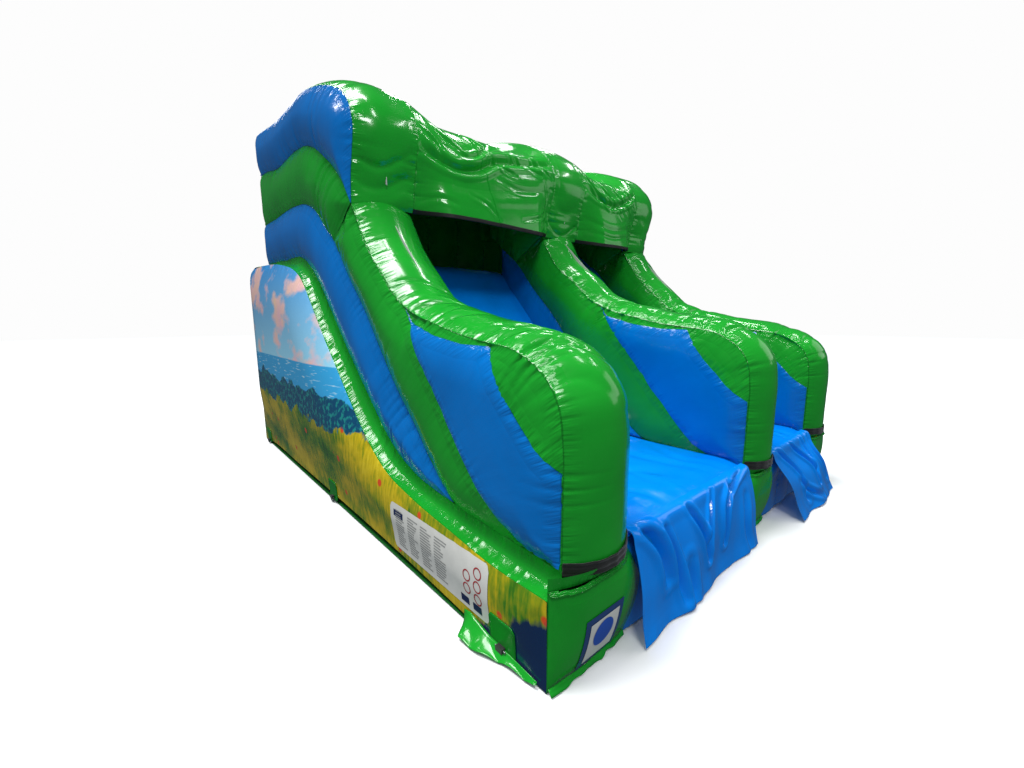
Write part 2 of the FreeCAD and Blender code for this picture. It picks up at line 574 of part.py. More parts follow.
# --- check and write ------------------------------------------------------------------------------
doc.recompute()
for thing in doc.Objects:
    assert not {"Invalid", "Error"} & set(thing.State), f"{thing.Name} failed to build"
os.makedirs("parts", exist_ok=True)
for thing in subparts:
    shape = thing.Shape
    assert not shape.isNull() and shape.isValid(), f"{thing.Label} is not a valid shape"
    assert shape.Solids, f"{thing.Label} has no solid"
    shape.exportStep(os.path.join("parts", thing.Label + ".step"))
print(f"{len(subparts)} sub-parts written")
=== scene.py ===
# %% [markdown]
# # An inflatable platform slide
# The real slide is sewn from coated polyester sheet and kept up by a blower. Nothing in it is rigid: each
# chamber is a few flat panels joined by seams, and air pushes every panel out between its seams. So each
# visible surface here is a panel too: a grid of points between two seams, pushed out by a rule that starts
# at the seam. A modelled block with rounded edges would be quicker, but it has no seams to swell between.

# %% Load the fixed frame
import math

import bpy
import numpy as np
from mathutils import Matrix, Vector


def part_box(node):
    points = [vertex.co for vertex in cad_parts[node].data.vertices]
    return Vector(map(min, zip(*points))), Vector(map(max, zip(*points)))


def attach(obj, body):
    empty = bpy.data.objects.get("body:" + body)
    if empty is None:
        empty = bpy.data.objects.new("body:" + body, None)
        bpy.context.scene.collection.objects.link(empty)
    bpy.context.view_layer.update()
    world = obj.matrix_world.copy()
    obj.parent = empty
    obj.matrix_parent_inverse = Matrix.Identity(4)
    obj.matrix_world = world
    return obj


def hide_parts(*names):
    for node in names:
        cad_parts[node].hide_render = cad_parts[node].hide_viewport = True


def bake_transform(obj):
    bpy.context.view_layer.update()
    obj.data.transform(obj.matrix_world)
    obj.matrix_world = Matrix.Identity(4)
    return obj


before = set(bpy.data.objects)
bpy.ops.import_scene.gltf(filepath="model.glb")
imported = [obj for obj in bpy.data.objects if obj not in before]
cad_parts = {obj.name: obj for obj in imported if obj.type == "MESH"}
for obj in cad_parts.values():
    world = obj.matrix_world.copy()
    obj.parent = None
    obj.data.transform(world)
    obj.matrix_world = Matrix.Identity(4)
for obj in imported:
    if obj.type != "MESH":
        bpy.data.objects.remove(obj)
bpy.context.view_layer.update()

# %% [markdown]
# ## Where things are
# Every place comes from the frame's boxes. Outlines are drawn in a side view: y is counted from the front
# face of the base towards the rear and z from the ground, both in metres.

# %% Places read from the frame
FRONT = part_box("slide_bed_chamber")[0].y
BASE_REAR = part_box("rear_buttress_chamber")[1].y - FRONT
WALL_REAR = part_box("left_wall_top_chamber")[1].y - FRONT
SPAR_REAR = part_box("centre_roof_spar")[1].y - FRONT
PLATFORM_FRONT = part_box("centre_base_chamber")[1].y - FRONT
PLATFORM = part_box("platform_chamber")[1].z
BUTTRESS_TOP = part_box("rear_buttress_chamber")[1].z
BASE = (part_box("left_base_chamber")[0].x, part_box("right_base_chamber")[1].x)
WALLS = {}
for side in ("left", "centre", "right"):
    low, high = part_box(f"{side}_wall_slope_tube")
    WALLS[side] = (low.x, high.x)
SLIDE_LANE = (WALLS["left"][1], WALLS["centre"][0])
STEPS_LANE = (WALLS["centre"][1], WALLS["right"][0])
LANES = {"slide": SLIDE_LANE, "steps": STEPS_LANE}
print("lanes", {name: round(b - a, 3) for name, (a, b) in LANES.items()})

# %% [markdown]
# ## Camera, floor and light
# A wide lens stands near the left front corner, a little lower than a grown-up's eyes. The light is a plain
# soft studio: a pale floor, a bright surround, one large soft key and rows of small ceiling lamps, because
# glossy coated cloth is mostly seen by the lamps it mirrors.

# %% Colours, and one function that adds a shader node


def linear(hexcode, alpha=1.0):
    """An sRGB hex colour as the linear colour that shaders take."""
    parts = [int(hexcode[i : i + 2], 16) / 255 for i in (1, 3, 5)]
    return tuple(c / 12.92 if c <= 0.04045 else ((c + 0.055) / 1.055) ** 2.4 for c in parts) + (alpha,)


def add(tree, kind, inputs=None, **settings):
    """Add one node with its settings. An input is a number, a colour or another node's output socket."""
    node = tree.nodes.new("ShaderNode" + kind)
    for name, value in settings.items():
        setattr(node, name, value)
    for name, value in (inputs or {}).items():
        if isinstance(value, bpy.types.NodeSocket):
            tree.links.new(value, node.inputs[name])
        else:
            node.inputs[name].default_value = value
    return node


# %% Camera
camera = bpy.data.objects.new("camera", bpy.data.cameras.new("camera"))
camera.location = (-2.646, -3.2955, 1.337)
camera.rotation_euler = (math.pi / 2 - 0.151, 0.002, -0.719)
camera.data.lens = 14.85
camera.data.sensor_width = 36
bpy.context.scene.collection.objects.link(camera)
bpy.context.scene.camera = camera
bpy.context.scene.view_settings.view_transform = "Standard"

# %% Surround and lamps
world = bpy.data.worlds.new("studio")
bpy.context.scene.world = world
world.use_nodes = True
surround = world.node_tree.nodes["Background"]
# The camera sees plain white. The cloth is lit by a pale hall and mirrors a darker one, so it stays deep.
path = add(world.node_tree, "LightPath")
hall = add(world.node_tree, "Mix", {"Factor": path.outputs["Is Glossy Ray"], "A": linear("#a3abb2"),
                                    "B": linear("#3f464b")}, data_type="RGBA")
seen = add(world.node_tree, "Mix", {"Factor": path.outputs["Is Camera Ray"], "A": hall.outputs["Result"],
                                    "B": linear("#fdfdfd")}, data_type="RGBA")
world.node_tree.links.new(seen.outputs["Result"], surround.inputs["Color"])


def lamp(name, place, aim, size, power, length=None, colour="#ffffff"):
    """A soft lamp at a place, turned towards a point."""
    light = bpy.data.lights.new(name, "AREA")
    light.shape = "RECTANGLE"
    light.size = size
    light.size_y = length or size
    light.energy = power
    light.color = linear(colour)[:3]
    holder = bpy.data.objects.new(name, light)
    holder.location = place
    to_aim = [a - p for a, p in zip(aim, place)]
    across = math.hypot(to_aim[0], to_aim[1])
    heading = math.atan2(to_aim[1], to_aim[0]) - math.pi / 2
    holder.rotation_euler = (math.atan2(across, -to_aim[2]), 0, heading)
    bpy.context.scene.collection.objects.link(holder)
    return holder


lamp("key", (-3.5, -5.5, 6.0), (0, -0.6, 1.2), 1.2, 130)
lamp("fill", (5.5, -5.0, 3.5), (0, 0, 1.0), 3.0, 30)
lamp("rear", (0.5, 6.5, 5.0), (0, 0, 1.5), 3.0, 90)
CEILING = 6.5
for i in range(4):
    for j in range(3):
        spot = (-4.8 + 3.1 * i, -3.6 + 3.4 * j, CEILING)
        lamp(f"ceiling_{i}_{j}", spot, (spot[0], spot[1] + 0.01, 0), 0.22, 34, length=1.6)
overhead = bpy.data.lights.new("overhead", "SUN")
overhead.energy = 2.6
overhead.angle = math.radians(25)
overhead_holder = bpy.data.objects.new("overhead", overhead)
overhead_holder.rotation_euler = (math.radians(-12), math.radians(-14), 0)
bpy.context.scene.collection.objects.link(overhead_holder)

# %% Floor
floor_size = 40
floor_mesh = bpy.data.meshes.new("floor")
corners = [(-1, -1, 0), (1, -1, 0), (1, 1, 0), (-1, 1, 0)]
floor_mesh.from_pydata([[c * floor_size for c in corner] for corner in corners], [], [(0, 1, 2, 3)])
floor = bpy.data.objects.new("floor", floor_mesh)
floor.location.z = -0.002
bpy.context.scene.collection.objects.link(floor)
floor.visible_diffuse = False
floor.visible_glossy = False
floor_paint = bpy.data.materials.new("studio_floor")
floor_paint.use_nodes = True
floor_shader = floor_paint.node_tree.nodes["Principled BSDF"]
floor_shader.inputs["Base Color"].default_value = linear("#f8f8f8")
floor_shader.inputs["Roughness"].default_value = 0.9
floor_mesh.materials.append(floor_paint)

# %% [markdown]
# ## Coated polyester
# Nearly every surface is the same cloth: a polyester scrim of 1 mm threads, knife-coated with plasticised
# PVC and glazed on a hot roller. The coat gives a wet gloss, and the scrim shows through as a faint grid.
# The grid is drawn about 19 mm wide here and very faint, because 1 mm threads are too fine to show. Each
# panel stores how far a point is from its seam, so the shader can darken the stitched edge and crinkle the
# cloth beside it.

# %% The coated cloth's shader
GRID = 0.006 * math.pi
STITCH_ROOM = 0.003


def remap(tree, value, start, end, low=0.0, high=1.0):
    """A value moved from one range to another, and kept inside the new one."""
    return add(tree, "MapRange", {"Value": value, "From Min": start, "From Max": end,
                                  "To Min": low, "To Max": high}).outputs[0]


def scrim_height(tree, place):
    """Height of a plain grid, from the panel's own coordinates. At scale 1 a wave is pi / 10 m long."""
    waves = []
    for direction in ("X", "Y"):
        wave = add(tree, "TexWave", {"Vector": place, "Scale": math.pi / (10 * GRID), "Distortion": 0.0},
                   bands_direction=direction)
        waves.append(wave.outputs["Fac"])
    return add(tree, "Math", {0: waves[0], 1: waves[1]}, operation="ADD").outputs[0]


def coated_cloth(name, colour, shade, roughness=0.13, crinkle=1.0, coat=0.2):
    """Glossy PVC-coated polyester in one colour, a little deeper beside its seams."""
    material = bpy.data.materials.new(name)
    material.use_nodes = True
    tree = material.node_tree
    shader = tree.nodes["Principled BSDF"]
    shader.inputs["IOR"].default_value = 1.45
    shader.inputs["Coat Weight"].default_value = coat
    shader.inputs["Coat Roughness"].default_value = 0.06
    place = add(tree, "UVMap").outputs["UV"]
    seam = add(tree, "Attribute", attribute_name="seam").outputs["Fac"]
    # The colour drifts a little over a panel, as rolls of cloth do, and is deeper in the stitched edge.
    cloud = add(tree, "TexNoise", {"Vector": place, "Scale": 2.2, "Detail": 3.0}).outputs["Fac"]
    drift = remap(tree, cloud, 0.3, 0.7)
    body = add(tree, "Mix", {"Factor": drift, "A": linear(colour), "B": linear(shade)}, data_type="RGBA")
    edge = remap(tree, seam, 0.0015, STITCH_ROOM)
    deep = tuple(c * 0.7 for c in linear(shade)[:3]) + (1,)
    dark = add(tree, "Mix", {"Factor": edge, "A": deep, "B": body.outputs["Result"]}, data_type="RGBA")
    tree.links.new(dark.outputs["Result"], shader.inputs["Base Color"])
    # Handling scuffs the glaze in soft patches.
    scuff = add(tree, "TexNoise", {"Vector": place, "Scale": 9.0, "Detail": 5.0, "Roughness": 0.65})
    gloss = remap(tree, scuff.outputs["Fac"], 0.35, 0.8, roughness, roughness + 0.12)
    tree.links.new(gloss, shader.inputs["Roughness"])
    # Fine crinkles run square to the seam and fade out within a hand's width.
    stretch = add(tree, "Mapping", {"Vector": place, "Scale": (1.0, 0.16, 1.0)}).outputs["Vector"]
    fine = add(tree, "TexNoise", {"Vector": stretch, "Scale": 38.0, "Detail": 2.0}).outputs["Fac"]
    near = remap(tree, seam, 0.0, 0.06, 1.0, 0.04)
    crimp = add(tree, "Math", {0: fine, 1: near}, operation="MULTIPLY").outputs[0]
    slack = add(tree, "TexNoise", {"Vector": place, "Scale": 14.0, "Detail": 1.0}).outputs["Fac"]
    soft = add(tree, "Bump", {"Height": slack, "Strength": 0.12, "Distance": 0.006}).outputs["Normal"]
    creased = add(tree, "Bump", {"Height": crimp, "Normal": soft, "Strength": min(1.0, 0.9 * crinkle),
                                 "Distance": 0.014}).outputs["Normal"]
    woven = add(tree, "Bump", {"Height": scrim_height(tree, place), "Normal": creased, "Strength": 0.06,
                               "Distance": 0.0004}).outputs["Normal"]
    tree.links.new(woven, shader.inputs["Normal"])
    return material


GREEN = coated_cloth("coated_polyester_green", "#1b9f2a", "#148c24")
BLUE = coated_cloth("coated_polyester_blue", "#0074c8", "#0067b4")
LIGHT_BLUE = coated_cloth("coated_polyester_light_blue", "#0088f0", "#007de0", roughness=0.12, crinkle=0.5)
DARK_GREEN = coated_cloth("coated_polyester_underside", "#1b6f27", "#165c20", roughness=0.35, coat=0.1)


def plain(name, colour, roughness, grain=0.0, grain_size=0.002, metallic=0.0, sheen=0.0):
    """A quiet finish: one colour with a little unevenness, and a grain in its height."""
    material = bpy.data.materials.new(name)
    material.use_nodes = True
    tree = material.node_tree
    shader = tree.nodes["Principled BSDF"]
    shader.inputs["Metallic"].default_value = metallic
    shader.inputs["Sheen Weight"].default_value = sheen
    place = add(tree, "TexCoord").outputs["Object"]
    cloud = add(tree, "TexNoise", {"Vector": place, "Scale": 12.0, "Detail": 4.0}).outputs["Fac"]
    darker = tuple(c * 0.72 for c in linear(colour)[:3]) + (1,)
    paint = add(tree, "Mix", {"Factor": cloud, "A": linear(colour), "B": darker}, data_type="RGBA")
    tree.links.new(paint.outputs["Result"], shader.inputs["Base Color"])
    rough = remap(tree, cloud, 0.0, 1.0, roughness - 0.05, roughness + 0.1)
    tree.links.new(rough, shader.inputs["Roughness"])
    if grain:
        fine = add(tree, "TexNoise", {"Vector": place, "Scale": 1 / grain_size, "Detail": 2.0}).outputs["Fac"]
        bump = add(tree, "Bump", {"Height": fine, "Strength": grain, "Distance": grain_size / 2})
        tree.links.new(bump.outputs["Normal"], shader.inputs["Normal"])
    return material


WEBBING = plain("polyester_webbing_black", "#141614", 0.55, grain=0.6, grain_size=0.003, sheen=0.2)
BLACK_TAPE = plain("binding_tape_black", "#0c0d0d", 0.6, grain=0.4)
LABEL_VINYL = plain("label_vinyl_white", "#e4e2da", 0.32, grain=0.1)
POCKET_VINYL = plain("pocket_vinyl_navy", "#27477e", 0.2, grain=0.15, grain_size=0.006)
GREY_INK = plain("screen_ink_grey", "#9c9c98", 0.5)
RED_INK = plain("screen_ink_red", "#b3262c", 0.45)
NAVY_INK = plain("screen_ink_navy", "#16295a", 0.45)
BLUE_INK = plain("screen_ink_blue", "#1c58c4", 0.4)
STEEL = plain("zinc_plated_steel", "#c9ccd0", 0.32, grain=0.1, metallic=1.0)
PATCH_CLOTH = plain("coated_polyester_patch", "#128622", 0.2, grain=0.2)
WEB_CLOTH = plain("web_polyester_white", "#c9ccc6", 0.6, grain=0.5, grain_size=0.003)
SLEEVE_CLOTH = plain("sleeve_polyester_green", "#157a26", 0.5, grain=0.6, grain_size=0.002, sheen=0.15)
ZIP_NYLON = plain("zip_nylon_black", "#101112", 0.5, grain=0.5, grain_size=0.0015)

# %% [markdown]
# The picture is ink printed on white coated cloth and laminated, so its colours are bright and its gloss is
# the cloth's own. It is painted here from layers in the side view: sky with clouds, sea, trees and a meadow.

# %% The printed picture
SKYLINE, SHORE, MEADOW = 1.02, 0.84, 0.62


def printed_landscape(name):
    """A landscape laid out by height above the ground, with uneven edges between its layers."""
    material = bpy.data.materials.new(name)
    material.use_nodes = True
    tree = material.node_tree
    shader = tree.nodes["Principled BSDF"]
    shader.inputs["Roughness"].default_value = 0.2
    shader.inputs["Coat Weight"].default_value = 0.4
    shader.inputs["Coat Roughness"].default_value = 0.08
    place = add(tree, "TexCoord").outputs["Object"]
    axes = add(tree, "SeparateXYZ", {"Vector": place})
    height = axes.outputs["Z"]
    flat = add(tree, "CombineXYZ", {"Y": axes.outputs["Y"], "Z": height}).outputs["Vector"]

    def noise(scale, detail=4.0, stretch=(1.0, 1.0, 1.0)):
        vector = add(tree, "Mapping", {"Vector": flat, "Scale": stretch}).outputs["Vector"]
        return add(tree, "TexNoise", {"Vector": vector, "Scale": scale, "Detail": detail}).outputs["Fac"]

    def above(level, softness, wobble):
        moved = add(tree, "Math", {0: wobble, 1: -0.35, 2: height}, operation="MULTIPLY_ADD").outputs[0]
        low = level - 0.175
        return remap(tree, moved, low - softness, low + softness)

    def over(under, top, share):
        mix = add(tree, "Mix", {"Factor": share}, data_type="RGBA")
        for socket, value in (("A", under), ("B", top)):
            if isinstance(value, str):
                mix.inputs[socket].default_value = linear(value)
            else:
                tree.links.new(value, mix.inputs[socket])
        return mix.outputs["Result"]

    blades, clumps = noise(46.0, 3.0, (1.0, 1.0, 0.22)), noise(3.2, 5.0, (1.0, 0.6, 1.0))
    strokes = add(tree, "Math", {0: blades, 1: 0.45, 2: clumps}, operation="MULTIPLY_ADD").outputs[0]
    grass_tone = add(tree, "ValToRGB", {"Fac": strokes})
    ramp = grass_tone.color_ramp
    for spot, tone in ((0.58, "#3f7a14"), (0.7, "#8b9410"), (0.8, "#c4ac10")):
        ramp.elements.new(spot).color = linear(tone)
    ramp.elements[0].color, ramp.elements[-1].color = linear("#123c18"), linear("#e3c92a")
    ramp.elements[0].position = 0.42
    meadow = grass_tone.outputs["Color"]
    flowers = add(tree, "TexVoronoi", {"Vector": flat, "Scale": 5.5})
    bloom = remap(tree, flowers.outputs["Distance"], 0.15, 0.11)
    meadow = over(meadow, "#dc4f1e", bloom)
    leaning = add(tree, "Math", {0: axes.outputs["Y"], 1: 0.55, 2: height}, operation="MULTIPLY_ADD")
    torn = add(tree, "Math", {0: noise(18.0, 4.0, (1.0, 1.0, 0.4)), 1: 0.16, 2: leaning.outputs[0]},
               operation="MULTIPLY_ADD").outputs[0]
    corner = FRONT * 0.55 + 0.36
    shadow = remap(tree, torn, corner + 0.02, corner - 0.01)
    meadow = over(meadow, "#08284f", shadow)
    picture = over(meadow, "#0b4a6c", above(MEADOW, 0.006, noise(4.5, 8.0)))
    leaf = remap(tree, noise(26.0, 3.0), 0.5, 0.62)
    in_trees = above(MEADOW, 0.006, noise(4.5, 8.0))
    tree_zone = add(tree, "Math", {0: leaf, 1: in_trees}, operation="MULTIPLY").outputs[0]
    picture = over(picture, "#1e8a86", tree_zone)
    picture = over(picture, "#37a6dd", above(SHORE, 0.006, noise(3.0, 8.0)))
    glint = remap(tree, noise(16.0, 2.0, (1.0, 0.4, 4.0)), 0.6, 0.72)
    in_sea = above(SHORE, 0.006, noise(3.0, 8.0))
    sea_zone = add(tree, "Math", {0: glint, 1: in_sea}, operation="MULTIPLY").outputs[0]
    picture = over(picture, "#bfe6f5", sea_zone)
    sky_tone = remap(tree, height, SKYLINE, 1.85)
    sky = over("#9fdcf4", "#2f93dc", sky_tone)
    puff = remap(tree, noise(2.1, 7.0, (1.0, 1.0, 1.7)), 0.5, 0.6)
    sky = over(sky, over("#ffd9a0", "#f3b9dc", noise(5.0)), puff)
    at_skyline = remap(tree, height, SKYLINE - 0.004, SKYLINE + 0.004)
    picture = over(picture, sky, at_skyline)
    tree.links.new(picture, shader.inputs["Base Color"])
    ripple = add(tree, "Bump", {"Height": noise(30.0, 2.0), "Strength": 0.1, "Distance": 0.004})
    tree.links.new(ripple.outputs["Normal"], shader.inputs["Normal"])
    return material


PICTURE = printed_landscape("printed_laminated_cloth")

# %% [markdown]
# ## How a panel swells
# Three rules shape every panel. It swells: cloth leaves its seam steeply and flattens out, a quarter of an
# ellipse. It gathers: the curved seam uses up less cloth than the panel has, so short puckers stand square
# to the seam. And at an inside bend there is far too much cloth, so long creases run across the panel.

# %% Smooth lines through a few points


def even(line, count):
    """The same line as evenly spaced points."""
    far = np.r_[0, np.cumsum(np.linalg.norm(np.diff(line, axis=0), axis=1))]
    places = np.linspace(0, far[-1], count)
    return np.column_stack([np.interp(places, far, line[:, k]) for k in range(line.shape[1])])


def smooth(points, count=200):
    """A smooth line that passes through every point, as evenly spaced points."""
    p = np.array(points, float)
    far = np.r_[0, np.cumsum(np.linalg.norm(np.diff(p, axis=0), axis=1))]
    slope = np.gradient(p, far, axis=0)
    fine = np.linspace(0, far[-1], 40 * len(p))
    i = np.clip(np.searchsorted(far, fine, side="right") - 1, 0, len(far) - 2)
    gap = (far[i + 1] - far[i])[:, None]
    s = (fine - far[i])[:, None] / gap
    line = (2 * s**3 - 3 * s**2 + 1) * p[i] + (s**3 - 2 * s**2 + s) * gap * slope[i]
    line += (3 * s**2 - 2 * s**3) * p[i + 1] + (s**3 - s**2) * gap * slope[i + 1]
    return even(line, count)


def up_to(line, limit):
    """The part of a rear-to-front line that lies in front of a limit."""
    inside = line[line[:, 0] < limit]
    outside = line[line[:, 0] >= limit]
    if not len(outside):
        return line
    last = outside[-1]
    share = (limit - inside[0][0]) / (last[0] - inside[0][0])
    return np.vstack([inside[0] + share * (last - inside[0]), inside])


def length_of(line):
    """A line's length."""
    return float(np.linalg.norm(np.diff(line, axis=0), axis=1).sum())


# %% Swelling, gathers and creases


def swell(distance, reach):
    """0 at the seam, 1 from the reach on: an arc, full enough beside the seam to leave a groove."""
    short = (1 - np.clip(distance / reach, 0, 1)) ** 2
    return 0.78 * (1 - short) + 0.22 * np.sqrt(np.clip(1 - short, 0, 1))


def uneven(along, pitch, seed):
    """Smooth random heights from -1 to 1, one new height for each pitch along a seam."""
    heights = np.random.default_rng(seed).uniform(-1, 1, 4096)
    place = np.asarray(along) / pitch
    i = np.floor(place).astype(int)
    share = place - i
    share = share * share * (3 - 2 * share)
    return heights[i % 4095] * (1 - share) + heights[i % 4095 + 1] * share


def gathers(distance, along, depth, pitch, fade, seed):
    """Puckers square to a seam: narrow valleys between soft ribs, of uneven depth and length."""
    valley = (1 - np.abs(uneven(along, pitch, seed))) ** 3
    strength = 0.65 + 0.55 * uneven(along, pitch * 4, seed + 1)
    length = fade * (0.75 + 0.5 * uneven(along, pitch * 2, seed + 2))
    return -depth * valley * strength * np.exp(-distance / length) * swell(distance, 0.02)


def to_line(places, line):
    """For each place: its distance to a line, and how far along the line the nearest point lies."""
    flat = places.reshape(-1, 2)
    start, step = line[:-1], np.diff(line, axis=0)
    step_length = np.maximum(np.linalg.norm(step, axis=1), 1e-9)
    offset = flat[:, None] - start
    share = np.clip((offset * step).sum(2) / step_length**2, 0, 1)
    gap = np.linalg.norm(offset - share[..., None] * step, axis=2)
    nearest = gap.argmin(1)
    row = np.arange(len(flat))
    far = np.r_[0, np.cumsum(step_length)]
    along = far[nearest] + share[row, nearest] * step_length[nearest]
    return gap[row, nearest].reshape(places.shape[:-1]), along.reshape(places.shape[:-1])


def creases(places, lines):
    """Drawn folds: each line is (points, depth, width), a valley with a soft rib beside it."""
    height = np.zeros(places.shape[:-1])
    for points, depth, width in lines:
        line = smooth(points, 40)
        gap, along = to_line(places, line)
        middle = 0.35 + 0.65 * np.sin(np.pi * np.clip(along / length_of(line), 0, 1))
        valley = np.clip(1 - gap / (1.7 * width), 0, 1) ** 1.3
        rib = np.clip(1 - np.abs(gap - 2.6 * width) / (1.9 * width), 0, 1)
        height -= depth * middle * (valley - 0.4 * rib * rib * (3 - 2 * rib))
    return height


# %% A cushion's rise at any place in its outline


def cushion(outline, height, reach=0.2, depth=0.013, pitch=0.05, fade=0.06, bends=(), seed=0, inner=()):
    """How far a panel stands out. Bends are (y, z, size): places where the cloth is slack."""

    def rise(places):
        gap, along = to_line(places, outline)
        slack = np.zeros(gap.shape)
        for y, z, size in bends:
            slack += np.exp(-(((places[..., 0] - y) ** 2 + (places[..., 1] - z) ** 2) / size**2))
        level = height * swell(gap, reach)
        level = level + gathers(gap, along, depth * (1 + 1.2 * slack), pitch, fade * (1 + 1.5 * slack), seed)
        level = level + gathers(gap, along, depth * 2.2 * slack, pitch * 2.3, fade * 4, seed + 7)
        for line in inner:
            near, beside = to_line(places, line)
            level = level - 0.006 * np.exp(-near / 0.02)
            level = level + gathers(near, beside, depth * 0.6, pitch, fade * 0.8, seed + 11)
            gap = np.minimum(gap, near + 0.003)
        return level, gap, along

    return rise


# %% From grids of points to an object


def denser(count):
    """Shares from 0 to 1 that lie closer together near both ends, where seams are."""
    return (1 - np.cos(np.linspace(0, np.pi, count))) / 2


def sewn(name, grids, material, stands_for=(), body="slide_unit", thickness=0.0):
    """One object from grids, each (points, seam distances, coordinates along, coordinates across)."""
    verts, faces, seams, flat = [], [], [], []
    start = 0
    for points, seam, along, across in grids:
        rows, cols = points.shape[:2]
        verts.append(points.reshape(-1, 3))
        seams.append(seam.reshape(-1))
        flat.append(np.stack([along, across], -1).reshape(-1, 2))
        index = start + np.arange(rows * cols).reshape(rows, cols)
        quads = np.stack([index[:-1, :-1], index[1:, :-1], index[1:, 1:], index[:-1, 1:]], -1)
        faces.append(quads.reshape(-1, 4))
        start += rows * cols
    verts, faces = np.vstack(verts), np.vstack(faces)
    mesh = bpy.data.meshes.new(name)
    mesh.from_pydata(verts.tolist(), [], faces.tolist())
    mesh.update()
    stored = mesh.attributes.new("seam", "FLOAT", "POINT").data
    stored.foreach_set("value", np.hstack(seams).astype(np.float32))
    coordinates = np.vstack(flat)[faces.reshape(-1)]
    mesh.uv_layers.new(name="UVMap").data.foreach_set("uv", coordinates.astype(np.float32).reshape(-1))
    mesh.polygons.foreach_set("use_smooth", np.ones(len(faces), bool))
    mesh.materials.append(material)
    piece = bpy.data.objects.new(name, mesh)
    bpy.context.scene.collection.objects.link(piece)
    if thickness:
        solid = piece.modifiers.new("thickness", "SOLIDIFY")
        solid.thickness = thickness
        solid.offset = 0
    if body:
        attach(piece, body)
    if stands_for:
        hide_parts(*stands_for)
    return piece


def turned(grid):
    """The same grid with its faces looking the other way."""
    return tuple(part[:, ::-1] for part in grid)


def side_panel(top, bottom, x, facing, rise, rows=24):
    """A panel in the side view between two seams, at one place across and swelling one way."""
    v = denser(rows)[None, :, None]
    places = bottom[:, None] + v * (top - bottom)[:, None]
    level, seam, _ = rise(places)
    points = np.stack([x + facing * level, FRONT + places[..., 0], places[..., 1]], -1)
    along = np.broadcast_to(np.linspace(0, length_of(top), len(top))[:, None], seam.shape)
    across = np.linalg.norm(places - bottom[:, None], axis=2)
    grid = (points, seam, along, across)
    return grid if facing < 0 else turned(grid)


def outward(line):
    """Unit normals of a side-view line that runs from rear to front over the top."""
    step = np.gradient(line, axis=0)
    step /= np.maximum(np.linalg.norm(step, axis=1), 1e-9)[:, None]
    return np.column_stack([step[:, 1], -step[:, 0]])


def roof_share(y):
    """How much a roof sheet holds a crown's seam up: fully in front and not at all at the rear."""
    return np.clip((3.5 - y) / 0.7, 0, 1)


def crest_panel(line, span, height, depth=0.014, pitch=0.05, fade=0.06, bends=(), ends=(0.5, 0.0), seed=0,
                cols=26, sign=1, held_up=(0.0, 0.0)):
    """The long strip over a wall: it runs along a side-view line and swells between the wall's two seams.

    A seam that a sheet hangs from stays held up by its own share of the height.
    """
    width = span[1] - span[0]
    t = denser(cols)[None, :]
    along = np.linspace(0, length_of(line), len(line))[:, None]
    gap = np.minimum(t, 1 - t) * width
    slack = np.zeros((len(line), 1))
    for y, z, size in bends:
        slack += np.exp(-(((line[:, :1] - y) ** 2 + (line[:, 1:] - z) ** 2) / size**2))
    share = (held_up[0] * (t < 0.5) + held_up[1] * (t >= 0.5)) * roof_share(line[:, :1])
    level = height * (share + (1 - share) * swell(gap, width / 2)) * np.ones_like(along)
    for far, dip in ((along, ends[0]), (along[-1] - along, ends[1])):
        level *= 1 - dip * (1 - swell(far, 0.10))
    side_seed = np.where(t < 0.5, 0, 1)
    for which in (0, 1):
        pucker = gathers(gap, along + 40 * which, depth * (1 + slack), pitch, fade * (1 + slack), seed)
        level = level + pucker * (side_seed == which)
    fold = (1 - np.abs(uneven(along + 0.07 * np.sin(4 * t + seed), 0.14, seed + 5))) ** 4
    level = level - 0.03 * slack * fold * swell(gap, width / 3)
    normal = outward(line) * sign
    points = np.empty(level.shape + (3,))
    points[..., 0] = span[0] + t * width
    points[..., 1] = FRONT + line[:, :1] + normal[:, :1] * level
    points[..., 2] = line[:, 1:] + normal[:, 1:] * level
    grid = (points, gap * np.ones_like(along), along * np.ones_like(t), t * width * np.ones_like(along))
    return grid if sign > 0 else turned(grid)


def end_panel(span, heights, y, height, facing=1, count=(22, 22), seed=0):
    """A chamber's rear or front end: an upright rectangle that swells between its four seams."""
    t, v = denser(count[0])[:, None], denser(count[1])[None, :]
    x = span[0] + t * (span[1] - span[0]) + 0 * v
    z = heights[0] + v * (heights[1] - heights[0]) + 0 * t
    beside = np.minimum(t, 1 - t) * (span[1] - span[0]) + 0 * v
    above = np.minimum(v, 1 - v) * (heights[1] - heights[0]) + 0 * t
    level = height * swell(beside, 0.2) * swell(above, 0.2)
    level = level + gathers(beside, z, 0.006, 0.036, 0.05, seed)
    level = level + gathers(above, x + 9, 0.006, 0.036, 0.05, seed)
    points = np.stack([x, FRONT + y + facing * level, z], -1)
    grid = (points, np.minimum(beside, above), x, z)
    return turned(grid) if facing > 0 else grid


# %% [markdown]
# ## The three tube walls
# A wall is four chambers: a blue lower tube that tapers to a point, a green slope tube that ends in the front
# column, a green arch tube and a blue top chamber with a green crest. Each seam is drawn once, rear to
# front, and the two chambers that meet there share it. The centre wall stops at the platform, so children
# can cross, and only its roof spar goes on.

